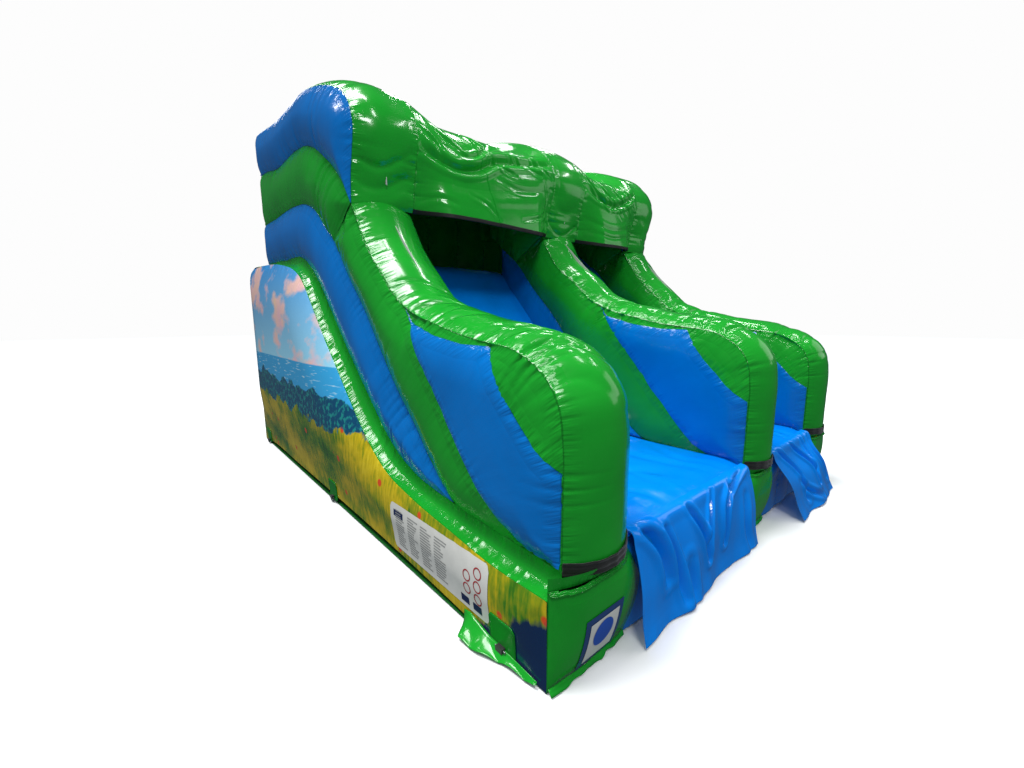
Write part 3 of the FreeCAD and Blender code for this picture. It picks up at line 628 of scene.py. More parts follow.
# %% The walls' seams, in side view
LEDGE_SEAM = smooth([
    (WALL_REAR, 1.89), (3.3, 1.86), (2.745, 1.811), (2.61, 1.745), (2.42, 1.61), (2.15, 1.35), (1.91, 1.12),
    (1.58, 0.83), (1.43, 0.704), (1.25, 0.59), (1.04, 0.517), (0.83, 0.487), (0.69, 0.478),
], 460)
TUBE_SEAM = smooth([
    (WALL_REAR, 2.26), (3.57, 2.25), (2.87, 2.235), (2.67, 2.21), (2.43, 2.126), (2.22, 1.97), (2.07, 1.86),
    (1.83, 1.6), (1.62, 1.4), (1.41, 1.157), (1.22, 0.95), (1.05, 0.8), (0.88, 0.63), (0.69, 0.48),
], 460)
RING_FOOT = (2.07, 1.86)
RING_CREST = (1.74, 2.035)
ARCH_SEAM = smooth([
    (WALL_REAR, 2.72), (3.67, 2.69), (3.41, 2.64), (2.77, 2.62), (2.55, 2.59), (2.34, 2.516), (2.18, 2.425),
    (1.99, 2.3), (1.82, 2.14), RING_CREST,
], 220)
CROWN_SEAM = smooth([
    (WALL_REAR, 3.09), (3.68, 3.05), (3.36, 3.0), (3.03, 2.97), (2.77, 2.955), (2.52, 2.94), (2.32, 2.895),
    (2.14, 2.84), (1.95, 2.765), (1.78, 2.67), (1.69, 2.57), (1.655, 2.45), (1.685, 2.32), (1.72, 2.2),
    RING_CREST,
], 260)
COLUMN_FOOT = 0.445
COLUMN_BULGE = 0.078


def slope_seam(rise):
    """The crest seam from the ring down to the column's foot. The centre column is a little higher."""
    points = [
        RING_CREST, (1.55, 1.765), (1.37, 1.595), (1.19, 1.445), (1.03, 1.375), (0.8, 1.315), (0.56, 1.265),
        (0.4, 1.245), (0.27, 1.228), (0.15, 1.18), (0.065, 1.11), (0.02, 1.03), (0.004, 0.93), (0, 0.7),
    ]
    return smooth([(y, z + rise * (y < 1.4)) for y, z in points] + [(0, COLUMN_FOOT)], 460)


FOOT_SEAM = smooth([
    RING_FOOT, (1.83, 1.6), (1.62, 1.4), (1.41, 1.157), (1.22, 0.95), (1.05, 0.8), (0.88, 0.63),
    (0.69, 0.485), (0.45, 0.462), (0.2, 0.453), (0.01, COLUMN_FOOT),
], 460)
ARCH_FOOT = up_to(TUBE_SEAM, WALL_REAR + 1)
ARCH_FOOT = even(ARCH_FOOT[ARCH_FOOT[:, 0] > RING_FOOT[0]], 220)
FLASH_FRONT = [
    (1.107, 1.405), (1.03, 1.325), (0.795, 1.265), (0.58, 1.235), (0.403, 1.232), (0.31, 1.1), (0.19, 0.976),
    (0.083, 0.863), (0.006, 0.81), (0.006, 0.46),
]
FLASH_REAR = [
    (1.107, 1.405), (0.93, 1.18), (0.754, 0.99), (0.59, 0.79), (0.444, 0.637), (0.31, 0.532), (0.186, 0.465),
]
SADDLE = (1.0, 1.37, 0.26)
BROW = (0.25, 1.22, 0.22)
RING_BEND = (1.8, 2.0, 0.2)


def cornered(points, count):
    """A line of straight runs as even points, with the nearest point moved onto each corner."""
    corners = np.array(points, float)
    line = even(corners, count)
    for corner in corners:
        line[np.linalg.norm(line - corner, axis=1).argmin()] = corner
    return line


def closed(top, bottom):
    """The outline of the panel between two seams."""
    return np.vstack([top[::2], bottom[::-2], top[:1]])


# %% Sew the chambers of each wall
SIDE_SWELL = 0.05
TOP_SWELL = 0.065
CROWN_SWELL = 0.075
CROWN_HELD = 0.8
for number, (side, span) in enumerate(WALLS.items()):
    centre = side == "centre"
    lift = 0.04 if centre else 0.0
    seed = 100 * number
    crest = slope_seam(lift)
    flash_front = cornered([(y, z + lift * (z > 0.6)) for y, z in FLASH_FRONT], 150)
    flash_rear = cornered([(y, z + lift * (z > 0.6)) for y, z in FLASH_REAR], 150)
    flash_edge = np.vstack([flash_front[::3], flash_rear[::-3]])
    lower_top, lower_bottom = TUBE_SEAM, LEDGE_SEAM
    arch_top, arch_bottom = ARCH_SEAM, ARCH_FOOT
    crown, crown_foot = CROWN_SEAM, ARCH_SEAM
    if centre:
        lower_top = even(up_to(TUBE_SEAM, PLATFORM_FRONT), 300)
        lower_bottom = even(up_to(LEDGE_SEAM, PLATFORM_FRONT), 300)
        arch_top, arch_bottom = even(up_to(ARCH_SEAM, 2.6), 140), even(up_to(ARCH_FOOT, 2.43), 140)
        crown, crown_foot = even(up_to(CROWN_SEAM, SPAR_REAR), 240), even(up_to(ARCH_SEAM, SPAR_REAR), 240)
    crown = even(crown, len(crown_foot))
    # Side panels of the four chambers, left and right.
    lower = cushion(closed(lower_top, lower_bottom), SIDE_SWELL, bends=[(1.25, 0.8, 0.3)], seed=seed)
    slope = cushion(closed(crest, FOOT_SEAM), SIDE_SWELL, bends=[SADDLE, BROW, RING_BEND], seed=seed + 20,
                    inner=[flash_edge])
    arch = cushion(closed(arch_top, arch_bottom), SIDE_SWELL, bends=[(2.2, 2.2, 0.25)], seed=seed + 40)
    top = cushion(closed(crown, crown_foot), TOP_SWELL, reach=0.2, bends=[(2.3, 2.55, 0.2)], seed=seed + 60)
    chambers = {
        "lower_tube": (lower_top, lower_bottom, lower, BLUE, "blue_pvc"),
        "slope_tube": (crest, FOOT_SEAM, slope, GREEN, "green_pvc"),
        "arch_tube": (arch_top, arch_bottom, arch, GREEN, "green_pvc"),
        "top_chamber": (crown, crown_foot, top, BLUE, "blue_pvc"),
    }
    cad_names = {
        "lower_tube": f"{side}_wall_lower_tube", "slope_tube": f"{side}_wall_slope_tube",
        "arch_tube": "centre_arch_pillar" if centre else f"{side}_wall_arch_tube",
        "top_chamber": "centre_roof_spar" if centre else f"{side}_wall_top_chamber",
    }
    for part, (upper, under, rise, cloth, slot) in chambers.items():
        panels = [side_panel(upper, under, x, facing, rise) for x, facing in zip(span, (-1, 1))]
        panels.append(end_panel(span, (under[0][1], upper[0][1]), upper[0][0], 0.045, seed=seed + 3))
        if part == "slope_tube":
            bends = [SADDLE, BROW, RING_BEND]
            panels[-1] = crest_panel(crest, span, COLUMN_BULGE, bends=bends, ends=(0.3, 0), seed=seed + 20)
        sewn(cad_names[part].replace("chamber", "panels"), panels, cloth, [cad_names[part]])
    held_up = (0.0 if side == "left" else CROWN_HELD, 0.0 if side == "right" else CROWN_HELD)
    bends = [(1.7, 2.15, 0.12)] if centre else [(1.7, 2.2, 0.16), (1.8, 2.72, 0.16)]
    crown_strip = [crest_panel(crown, span, CROWN_SWELL, bends=bends, ends=(1.0, 0.3),
                               seed=seed + 60, held_up=held_up, cols=34)]
    if centre:
        crown_strip.append(crest_panel(crown_foot[:150], span, 0.05, seed=seed + 70, sign=-1))
    sewn(f"{side}_crown_strip", crown_strip, GREEN)
    # The coloured flash lies in the slope tube's side, a seam's thickness proud of it.
    flashes = []
    for x, facing in zip(span, (-1, 1)):
        points, seam, along, across = side_panel(flash_front, flash_rear, x, facing, slope, rows=30)
        edge_gap, edge_along = to_line(points[..., 1:] - (FRONT, 0), flash_edge)
        points[..., 0] += facing * (0.0015 + 0.007 * swell(edge_gap, 0.08))
        flashes.append((points, edge_gap, along, across))
    sewn(f"{side}_flash_panels", flashes, BLUE, [f"flash_panels_{side}"])

# %% [markdown]
# ## The base
# The base's sides carry a printed picture, and a narrow green ledge joins the picture's top edge to the wall.
# The ledge is the most puckered cloth on the slide, because it is a narrow strip sewn along two curves.
# Under each column the base ends in a foot with a flange and a stitch line.

# %% The base's seams
PRINT_EDGE = smooth([
    (BASE_REAR, 1.84), (4.3, 1.865), (4.14, 1.865), (3.02, 1.777), (2.92, 1.758), (2.66, 1.66), (2.46, 1.48),
    (2.22, 1.24), (1.96, 1.0), (1.785, 0.84), (1.62, 0.7), (1.47, 0.59), (1.25, 0.48), (1.01, 0.43),
    (0.6, 0.385), (0.32, 0.36), (0, 0.365),
], 460)
GROUND_EDGE = smooth([
    (BASE_REAR, 0.006), (4.2, 0.035), (3.2, 0.05), (2.2, 0.055), (1.2, 0.05), (0.5, 0.03), (0, 0.004),
], 460)
LEDGE_OUTER = even(up_to(PRINT_EDGE, WALL_REAR), 560)
LEDGE_FRONT = smooth([(0.69, 0.478), (0.46, 0.466), (0.2, 0.458), (0, 0.448)], 60)
LEDGE_INNER = even(np.vstack([LEDGE_SEAM[:-4], LEDGE_FRONT]), 560)
print_rise = cushion(closed(PRINT_EDGE, GROUND_EDGE), 0.075, reach=0.4, depth=0.009, seed=500)


def bridge(outer, inner, height, depth, pitch, fade, seed, cols=14, facing=1):
    """A strip between two seams in space, swollen along its own normals."""
    t = denser(cols)[None, :, None]
    points = outer[:, None] + t * (inner - outer)[:, None]
    along_step = np.gradient(points, axis=0)
    across_step = np.gradient(points, axis=1)
    normal = np.cross(across_step, along_step) * facing
    normal /= np.maximum(np.linalg.norm(normal, axis=2), 1e-12)[..., None]
    width = np.linalg.norm(inner - outer, axis=1)[:, None]
    gap = np.minimum(t[..., 0], 1 - t[..., 0]) * width
    along = np.r_[0, np.cumsum(np.linalg.norm(np.diff(outer, axis=0), axis=1))][:, None] * np.ones_like(gap)
    level = height * swell(gap, width / 2) + gathers(gap, along, depth, pitch, fade, seed)
    points = points + normal * level[..., None]
    return points, gap, along, t[..., 0] * width


def placed(line, x):
    """A side-view line at one place across, as points in space."""
    return np.column_stack([np.full(len(line), x), FRONT + line[:, 0], line[:, 1]])


# %% Printed sides, ledges and feet
FOOT_TOP = 0.405
FOOT_LEAN = 0.06
FOOT_SWELL = 0.03
FOOT_SPREAD = 0.13


def foot_spread(t, z, sides):
    """How far a foot bulges sideways past its column, over the lane beside it."""
    up = np.clip(z / FOOT_TOP, 0, 1)
    return FOOT_SPREAD * swell(np.minimum(up, 1 - up), 0.5) * (sides[1] * t**3 - sides[0] * (1 - t) ** 3)


def foot_face(t, z, width):
    """How far a foot's front stands out at a share across it and a height."""
    across = swell(np.minimum(t, 1 - t) * width, width / 3)
    up = np.clip(z / FOOT_TOP, 0, 1)
    return across * (FOOT_LEAN * up + FOOT_SWELL * swell(np.minimum(up, 1 - up) * FOOT_TOP, FOOT_TOP / 2))


def foot_panels(span, seed, sides):
    """A foot's front from the ground to its flange, and the shoulder from the flange up to the strap."""
    width = span[1] - span[0]
    t, v = denser(50)[:, None], denser(30)[None, :]
    x, z = span[0] + t * width + 0 * v, 0.004 + v * (FOOT_TOP - 0.004) + 0 * t
    beside, above = np.minimum(t, 1 - t) * width + 0 * v, np.minimum(v, 1 - v) * FOOT_TOP + 0 * t
    level = foot_face(t, z, width) + gathers(above, x, 0.006, 0.03, 0.04, seed)
    level = level + gathers(beside, z + 5, 0.005, 0.036, 0.04, seed)
    front = (np.stack([x + foot_spread(t, z, sides), FRONT - level, z], -1), np.minimum(beside, above), x, z)
    # The foot's cheek runs back from its bulging edge to the landing's front.
    cheeks = []
    for share, side in ((0.0, sides[0]), (1.0, sides[1])):
        if side:
            back = np.linspace(0, 0.16, 8)[:, None]
            high = 0.004 + v * (FOOT_TOP - 0.004) + 0 * back
            cheek_x = span[0] + share * width + foot_spread(share, high, sides) * (1 - (back / 0.16) ** 2)
            cheek = (np.stack([cheek_x, FRONT + back + 0 * v, high], -1), high + 1, back + 0 * v, high)
            cheeks.append(turned(cheek) if share else cheek)
    u = np.linspace(0, 1, 10)[None, :]
    across = swell(np.minimum(t, 1 - t) * width, width / 2)
    high = FOOT_TOP + u * (COLUMN_FOOT + 0.01 - FOOT_TOP) + 0 * t
    out = across * (FOOT_LEAN + (COLUMN_BULGE - FOOT_LEAN) * u)
    out = out + gathers(0.035 * (1 - u) + 0 * t, x[:, :10], 0.007, 0.03, 0.06, seed + 1)
    shoulder = (np.stack([x[:, :10], FRONT - out, high], -1), (high - FOOT_TOP), x[:, :10], high)
    return [turned(front), turned(shoulder), *cheeks]


FOOT_SIDES = {"left": (0, 1), "centre": (1, 1), "right": (1, 0)}
for number, side in enumerate(WALLS):
    near, far = WALLS[side]
    span = {"left": (BASE[0], far), "centre": (near, far), "right": (near, BASE[1])}[side]
    panels = foot_panels(span, 600 + 10 * number, FOOT_SIDES[side])
    if side != "centre":
        outer_x, inner_x = (BASE[0], near) if side == "left" else (BASE[1], far)
        ledge = bridge(placed(LEDGE_OUTER, outer_x), placed(LEDGE_INNER, inner_x), 0.034, 0.022, 0.055, 0.05,
                       620 + number, facing=1 if side == "left" else -1)
        panels.append(ledge if side == "left" else turned(ledge))
    sewn(f"{side}_base_panels", panels, GREEN, [f"{side}_base_chamber"])

# %% [markdown]
# ## Beds, platform and steps
# A bed is an air mattress: webs inside hold the top sheet down in lengthwise rows, so the surface is a row
# of long low tubes. A light blue cover sheet lies loose on the slide's bed, and the steps are round bolsters.

# %% Quilted surfaces
BED_LINE = smooth([
    (WALL_REAR - 0.35, 1.772), (2.6, 1.775), (2.38, 1.775), (2.27, 1.735), (2.12, 1.6), (1.7, 1.17),
    (1.3, 0.755), (1.12, 0.57), (0.98, 0.475), (0.75, 0.455), (0.3, 0.452), (0.08, 0.448), (0.0, 0.42),
], 300)
TUBE_PITCH = 0.31


def quilted(line, span, height, pitch=TUBE_PITCH, lift=0.0, cols_per_tube=14, folds=(), seed=0, slack=0.0,
            flat_in=None):
    """A mattress top along a side-view line, with a low tube for each pitch across it.

    Inside flat_in, a box of x and height, the panel lies flat.
    """
    width = span[1] - span[0]
    tubes = max(1, round(width / pitch))
    shares = np.unique(np.concatenate([(i + denser(cols_per_tube)) / tubes for i in range(tubes)]).round(6))
    t = shares[None, :]
    along = np.linspace(0, length_of(line), len(line))[:, None]
    in_tube = t * tubes % 1
    gap = np.minimum(in_tube, 1 - in_tube) * width / tubes + 0 * along
    level = height * swell(gap, width / tubes / 2) * (1 - slack) + height * slack + lift + 0 * along
    level = level + gathers(gap, along, 0.005 * (1 - slack), 0.06, 0.03, seed)
    places = np.stack([span[0] + t * width + 0 * along, line[:, :1] + 0 * t], -1)
    level = level + creases(places, folds)
    if flat_in:
        (low_x, low_z), (high_x, high_z) = flat_in
        beyond = np.hypot(np.maximum(np.maximum(low_x - places[..., 0], places[..., 0] - high_x), 0),
                          np.maximum(np.maximum(low_z - line[:, 1:], line[:, 1:] - high_z), 0))
        level = level * swell(beyond, 0.12)
    normal = outward(line)
    points = np.empty(level.shape + (3,))
    points[..., 0] = places[..., 0]
    points[..., 1] = FRONT + line[:, :1] + normal[:, :1] * level
    points[..., 2] = line[:, 1:] + normal[:, 1:] * level
    return points, gap + 0.004 * (slack > 0), along + 0 * t, places[..., 0]


for lane, span in LANES.items():
    sewn(f"{lane}_bed_panels", [quilted(BED_LINE, span, 0.022, seed=700)], BLUE,
         [f"{lane}_bed_chamber"])
platform_line = smooth([(SPAR_REAR, PLATFORM), (3.0, PLATFORM), (PLATFORM_FRONT + 0.12, PLATFORM)], 60)
inside = (SLIDE_LANE[0], STEPS_LANE[1])
sewn("platform_panels", [quilted(platform_line, inside, 0.02, seed=710)], BLUE,
     ["platform_chamber"])

print("quilted line of the bed:", round(length_of(BED_LINE), 2), "m")

# %% Back wall, buttress and underside
REAR_PITCH = 0.42
BACK_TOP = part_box("back_wall_chamber")[1].z
buttress_line = smooth([
    (BASE_REAR, 0.006), (BASE_REAR, 0.3), (BASE_REAR, 0.9), (BASE_REAR, 1.4), (BASE_REAR, 1.76),
    (BASE_REAR - 0.04, BUTTRESS_TOP - 0.03),
    (BASE_REAR - 0.12, BUTTRESS_TOP), (WALL_REAR, BUTTRESS_TOP),
], 170)
tape_low, tape_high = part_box("zip_cover_band")[0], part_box("zip_cover_band")[1]
zip_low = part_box("zip_cover")[0]
zip_room = ((tape_low.x - 0.02, zip_low.z - 0.03), (tape_high.x + 0.02, tape_high.z + 0.02))
buttress = quilted(buttress_line, BASE, 0.035, pitch=REAR_PITCH, seed=720, flat_in=zip_room)
sewn("buttress_panels", [buttress], GREEN, ["rear_buttress_chamber"])
back_line = smooth([
    (WALL_REAR, BUTTRESS_TOP - 0.02), (WALL_REAR, BACK_TOP - 0.2), (WALL_REAR - 0.03, BACK_TOP - 0.05),
    (WALL_REAR - 0.1, BACK_TOP), (SPAR_REAR + 0.1, BACK_TOP), (SPAR_REAR + 0.03, BACK_TOP - 0.05),
    (SPAR_REAR, BACK_TOP - 0.2), (SPAR_REAR, PLATFORM),
], 170)
sewn("back_wall_panels", [quilted(back_line, inside, 0.03, pitch=REAR_PITCH, seed=730)], GREEN,
     ["back_wall_chamber"])
under_line = smooth([(0.02, 0.006), (2.0, 0.006), (BASE_REAR - 0.02, 0.006)], 60)
sewn("ground_sheet", [quilted(under_line, BASE, 0.003, pitch=REAR_PITCH)], DARK_GREEN)
lip_line = smooth([(0.03, 0.43), (0.0, 0.4), (-0.004, 0.2), (0, 0.01)], 40)
for lane, span in LANES.items():
    sewn(f"{lane}_front_panel", [quilted(lip_line, span, 0.01)], BLUE)

# %% Step bolsters
STEP_WIDTH, STEP_RISE = 0.19, 0.13
SLOPE_TURN = math.radians(46)
half, tall = STEP_WIDTH / 2, STEP_RISE / 2
bolster = [(half, -tall), (half + 0.006, 0.0), (half - 0.03, tall), (0, tall + 0.008), (0.03 - half, tall),
           (-half - 0.006, 0.0), (-half, -tall)]
for number in range(1, 5):
    node = f"step_tube_{number}"
    low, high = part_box(node)
    middle = ((low.y + high.y) / 2 - FRONT, (low.z + high.z) / 2)
    turn = np.array([[math.cos(SLOPE_TURN), math.sin(SLOPE_TURN)],
                     [-math.sin(SLOPE_TURN), math.cos(SLOPE_TURN)]])
    line = smooth(np.array(bolster) @ turn + middle, 60)
    foot = np.linspace(line[0], line[-1], 60)
    span = (low.x, high.x)
    cap = cushion(closed(line, foot), 0.02, reach=0.06, depth=0.003, pitch=0.03, fade=0.02, seed=740 + number)
    panels = [crest_panel(line, span, 0.014, bends=[], ends=(0, 0), seed=740 + number, cols=70)]
    panels += [side_panel(line, foot, x, facing, cap, rows=12) for x, facing in zip(span, (-1, 1))]
    sewn(f"step_bolster_{number}", panels, BLUE, [node])

# %% [markdown]
# ## Loose sheets
# The cover on the slide, the two aprons and the fascia aren't blown up. They hang and lie, so their folds
# are long and few, and each one is drawn here as a line with a valley along it and a soft rib beside it.

# %% The cover sheets
COVER_GAP = 0.01
cover_line = even(BED_LINE[20:], 260)
cover_folds = [
    ([(-1.1, 0.9), (-0.7, 0.55), (-0.45, 0.1)], 0.007, 0.03),
    ([(-0.2, 0.95), (-0.35, 0.5), (-0.3, 0.15)], 0.006, 0.03),
    ([(-1.15, 0.5), (-0.9, 0.3), (-0.8, 0.02)], 0.008, 0.025),
    ([(-0.05, 0.6), (-0.2, 0.3), (-0.15, 0.05)], 0.006, 0.02),
    ([(-1.0, 1.9), (-0.6, 1.6), (-0.5, 1.2)], 0.004, 0.03),
    ([(-1.15, 1.1), (-0.6, 1.02), (0.0, 1.08)], 0.006, 0.03),
    ([(-0.6, 0.85), (-0.62, 0.4), (-0.7, 0.02)], 0.006, 0.022),
]
slide_inside = (SLIDE_LANE[0] + COVER_GAP, SLIDE_LANE[1] - COVER_GAP)
steps_inside = (STEPS_LANE[0] + COVER_GAP, STEPS_LANE[1] - COVER_GAP)
cover = quilted(cover_line, slide_inside, 0.022, lift=0.009, folds=cover_folds, slack=0.8)
slide_cover = sewn("slide_cover", [cover], LIGHT_BLUE, ["slide_cover_sheet"])
landing_line = even(BED_LINE[BED_LINE[:, 0] < 0.97], 120)
landing_folds = [
    ([(0.5, 0.8), (0.8, 0.4), (0.9, 0.0)], 0.006, 0.025),
    ([(1.1, 0.7), (0.95, 0.3), (1.0, 0.0)], 0.005, 0.02),
]
landing = quilted(landing_line, steps_inside, 0.022, lift=0.009, folds=landing_folds, slack=0.8)
steps_cover = sewn("steps_cover", [landing], LIGHT_BLUE, ["steps_cover_sheet"])

print("cover sheets:", round(length_of(cover_line), 2), "and", round(length_of(landing_line), 2), "m long")

# %% The aprons
LIP = 0.462
APRONS = {
    "slide": (slide_inside, 0.122, (0.02, 0.0), [
        ([(-1.16, 0.0), (-1.04, 0.14), (-0.98, 0.32)], 0.03, 0.02),
        ([(-0.96, 0.1), (-0.91, 0.26), (-0.86, 0.46)], 0.022, 0.014),
        ([(-0.74, 0.06), (-0.64, 0.24), (-0.6, 0.37)], 0.022, 0.014),
        ([(-0.48, 0.05), (-0.57, 0.2), (-0.6, 0.37)], 0.02, 0.012),
        ([(-0.28, 0.06), (-0.37, 0.2), (-0.39, 0.36)], 0.018, 0.012),
        ([(-0.04, 0.02), (-0.22, 0.08), (-0.36, 0.16), (-0.39, 0.36)], 0.02, 0.014),
        ([(-0.1, 0.18), (-0.12, 0.34), (-0.08, 0.5)], 0.014, 0.02),
        ([(-0.8, 0.3), (-0.78, 0.5)], 0.018, 0.02),
    ]),
    "steps": (steps_inside, 0.215, (-0.13, 0.2), [
        ([(0.5, 0.02), (0.62, 0.2), (0.66, 0.45)], 0.022, 0.016),
        ([(0.78, 0.06), (0.9, 0.25), (0.92, 0.4)], 0.022, 0.014),
        ([(1.0, 0.04), (0.98, 0.2), (0.92, 0.4)], 0.02, 0.013),
        ([(1.18, 0.02), (1.12, 0.16), (1.16, 0.42)], 0.02, 0.016),
        ([(0.6, 0.3), (0.74, 0.42), (0.9, 0.5)], 0.014, 0.016),
    ]),
}
for lane, (span, reach, flare, folds) in APRONS.items():
    line = smooth([(0.012, LIP + 0.014), (-0.022, LIP + 0.006), (-0.05, 0.4), (-0.55 * reach - 0.02, 0.25),
                   (-0.85 * reach, 0.09), (-reach, 0.008)], 90)
    t = np.linspace(0, 1, 150)[None, :]
    down = np.linspace(0, length_of(line), len(line))[:, None]
    share = down / down[-1]
    x = span[0] + t * (span[1] - span[0]) - flare[0] * share * (1 - t) + flare[1] * share * t
    places = np.stack([span[0] + t * (span[1] - span[0]) + 0 * down, down + 0 * t], -1)
    wave = 0.022 * share**1.3 * uneven(t * (span[1] - span[0]) + 0.12 * share, 0.17, 811)
    level = wave + 1.7 * creases(places, folds) * np.clip(share * 6, 0, 1)
    normal = outward(line)
    points = np.stack([x + 0 * level, FRONT + line[:, :1] + normal[:, :1] * level,
                       line[:, 1:] + normal[:, 1:] * level], -1)
    points[..., 2] = np.maximum(points[..., 2], 0.004)
    edge = np.minimum(t, 1 - t) * (span[1] - span[0]) + 0 * down
    edge = np.minimum(edge, down[-1] - down + 0 * t)
    apron = sewn(f"{lane}_front_apron", [(points, edge, places[..., 0], places[..., 1])], LIGHT_BLUE,
                 [f"{lane}_apron"], body=None)
    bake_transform(apron)
    wide = span[1] - span[0]
    flat = (round(wide + max(0, flare[0] + flare[1]), 2), round(length_of(line), 2))

# %% The fascia and the roof
HEM = 2.0
FASCIA_LINE = [
    (SPAR_REAR - 0.02, 2.95), (3.0, 2.9), (2.5, 2.855), (2.0, 2.745), (1.8, 2.665), (1.67, 2.575),
    (1.61, 2.45), (1.585, 2.3), (1.56, 2.12), (1.545, HEM),
]
FASCIA_FOLDS = {
    "slide": [
        ([(-1.25, 2.45), (-1.12, 2.39), (-0.91, 2.335), (-0.78, 2.36), (-0.6, 2.45), (-0.3, 2.52),
          (0.0, 2.57)], 0.034, 0.02),
        ([(-1.25, 2.26), (-0.9, 2.22), (-0.5, 2.27), (0.0, 2.36)], 0.006, 0.03),
        ([(-0.98, 2.47), (-0.86, 2.43), (-0.74, 2.47), (-0.62, 2.58)], 0.0108, 0.011),
        ([(-1.12, 2.62), (-1.0, 2.52), (-0.86, 2.44)], 0.0108, 0.013),
        ([(-1.2, 2.56), (-1.1, 2.47), (-1.02, 2.36)], 0.0084, 0.013),
        ([(-0.66, 2.5), (-0.54, 2.42), (-0.4, 2.4)], 0.0084, 0.01),
        ([(-0.45, 2.6), (-0.3, 2.5), (-0.13, 2.46)], 0.0084, 0.01),
        ([(-0.62, 2.34), (-0.4, 2.3), (-0.1, 2.34)], 0.0048, 0.013),
        ([(-0.36, 2.08), (-0.2, 2.12), (-0.03, 2.2)], 0.006, 0.01),
        ([(-0.22, 2.64), (-0.14, 2.54), (-0.02, 2.46)], 0.0084, 0.01),
        ([(-1.2, 2.1), (-1.08, 2.13), (-0.96, 2.1)], 0.0042, 0.012),
        ([(-0.56, 2.68), (-0.47, 2.6), (-0.42, 2.5)], 0.0072, 0.01),
        ([(-0.86, 2.66), (-0.72, 2.56), (-0.66, 2.46)], 0.0084, 0.01),
        ([(-0.1, 2.42), (-0.05, 2.3), (-0.08, 2.12)], 0.0048, 0.012),
        ([(-0.85, 2.18), (-0.7, 2.13), (-0.6, 2.05)], 0.0042, 0.01),
    ],
    "steps": [
        ([(0.41, 2.5), (0.6, 2.42), (0.8, 2.38), (1.0, 2.44), (1.21, 2.56)], 0.026, 0.018),
        ([(0.45, 2.62), (0.55, 2.5), (0.75, 2.34)], 0.02, 0.012),
        ([(0.6, 2.65), (0.72, 2.5), (0.95, 2.3)], 0.0108, 0.012),
        ([(0.8, 2.62), (0.95, 2.48), (1.15, 2.3)], 0.0108, 0.012),
        ([(0.42, 2.25), (0.7, 2.16), (1.2, 2.24)], 0.006, 0.016),
        ([(1.0, 2.62), (1.1, 2.52), (1.2, 2.42)], 0.0096, 0.011),
        ([(0.5, 2.12), (0.75, 2.08), (1.0, 2.12)], 0.0042, 0.012),
    ],
}
HEM_ROOM = 0.026
FASCIA_EASE = 0.24
FASCIA_ROWS = 340


def spread(line, shares):
    """Points at the given shares of a line's length."""
    arc = np.r_[0, np.cumsum(np.linalg.norm(np.diff(line, axis=0), axis=1))]
    return np.column_stack([np.interp(shares * arc[-1], arc, line[:, i]) for i in (0, 1)])


def fascia(lane, span, count):
    """A bay's sheet from the roof's rear down to its hem. It leaves the crowns' seams and sags."""
    width = span[1] - span[0]
    down = 1 - (1 - np.linspace(0, 1, FASCIA_ROWS)) ** 1.5
    middle = spread(smooth(FASCIA_LINE, 300), down)
    crown = spread(up_to(CROWN_SEAM, SPAR_REAR), down)
    down = down[:, None]
    held = CROWN_SWELL * CROWN_HELD * (1 - 0.3 * (1 - swell((1 - down) * length_of(crown), 0.1)))
    crown = crown + outward(crown) * held * roof_share(crown[:, :1])
    t = np.linspace(0, 1, count)[None, :]
    beside = np.minimum(t, 1 - t) * width
    ease = np.clip(beside / FASCIA_EASE, 0, 1)
    ease = ease * ease * (3 - 2 * ease)
    line = crown[:, None] * (1 - ease[..., None]) + middle[:, None] * ease[..., None]
    arc = 4 * t * (1 - t)
    roof = np.clip((line[..., 0] - 1.6) / 0.5, 0, 1)
    places = np.stack([span[0] + t * width + 0 * roof, line[..., 1]], -1)
    face = np.clip((1.95 - line[..., 0]) / 0.25, 0, 1) * swell(beside, 0.12)
    level = -0.05 * arc * roof + 0.02 * arc * (1 - roof) + creases(places, FASCIA_FOLDS[lane]) * face
    level = level + 0.004 * uneven(places[..., 0] + 0.3 * places[..., 1], 0.21, 831) * swell(beside, 0.2)
    level = level + gathers(beside + 0 * level, places[..., 1] + 7, 0.012, 0.06, 0.05, 837)
    hem_wave = 0.008 * uneven(places[..., 0], 0.2, 835) * np.clip((HEM + 0.1 - line[..., 1]) / 0.1, 0, 1)
    normal = outward(middle)
    points = np.empty(level.shape + (3,))
    points[..., 0] = places[..., 0]
    points[..., 1] = FRONT + line[..., 0] + normal[:, :1] * level
    points[..., 2] = line[..., 1] + normal[:, 1:] * level + hem_wave
    return points, beside + 0.01 + 0 * level, places[..., 0], down * length_of(middle) + 0 * t


FASCIA_COUNTS = {"slide": 240, "steps": 160}
for lane, span in LANES.items():
    grid = fascia(lane, span, FASCIA_COUNTS[lane])
    stands_for = ["fascia_sheet", "roof_sheet"]
    sheet = sewn(f"{lane}_fascia", [grid], GREEN, stands_for)
    points, edge, along, across = grid
    first = np.argmax(across[:, 0] > across[-1, 0] - HEM_ROOM)
    hem_rows = slice(first, None)
    hem_points = points[hem_rows].copy()
    hem_points[..., 1] -= 0.003
    hem_points[-1, :, 2] -= 0.004
    hem_grid = (hem_points, edge[hem_rows] + 1, along[hem_rows], across[hem_rows])
    hem = sewn(f"{lane}_hem", [hem_grid], BLACK_TAPE, ["fascia_hem"], thickness=0.004)
    flat = (round(span[1] - span[0], 2), round(length_of(smooth(FASCIA_LINE, 300)) + 0.05, 2))

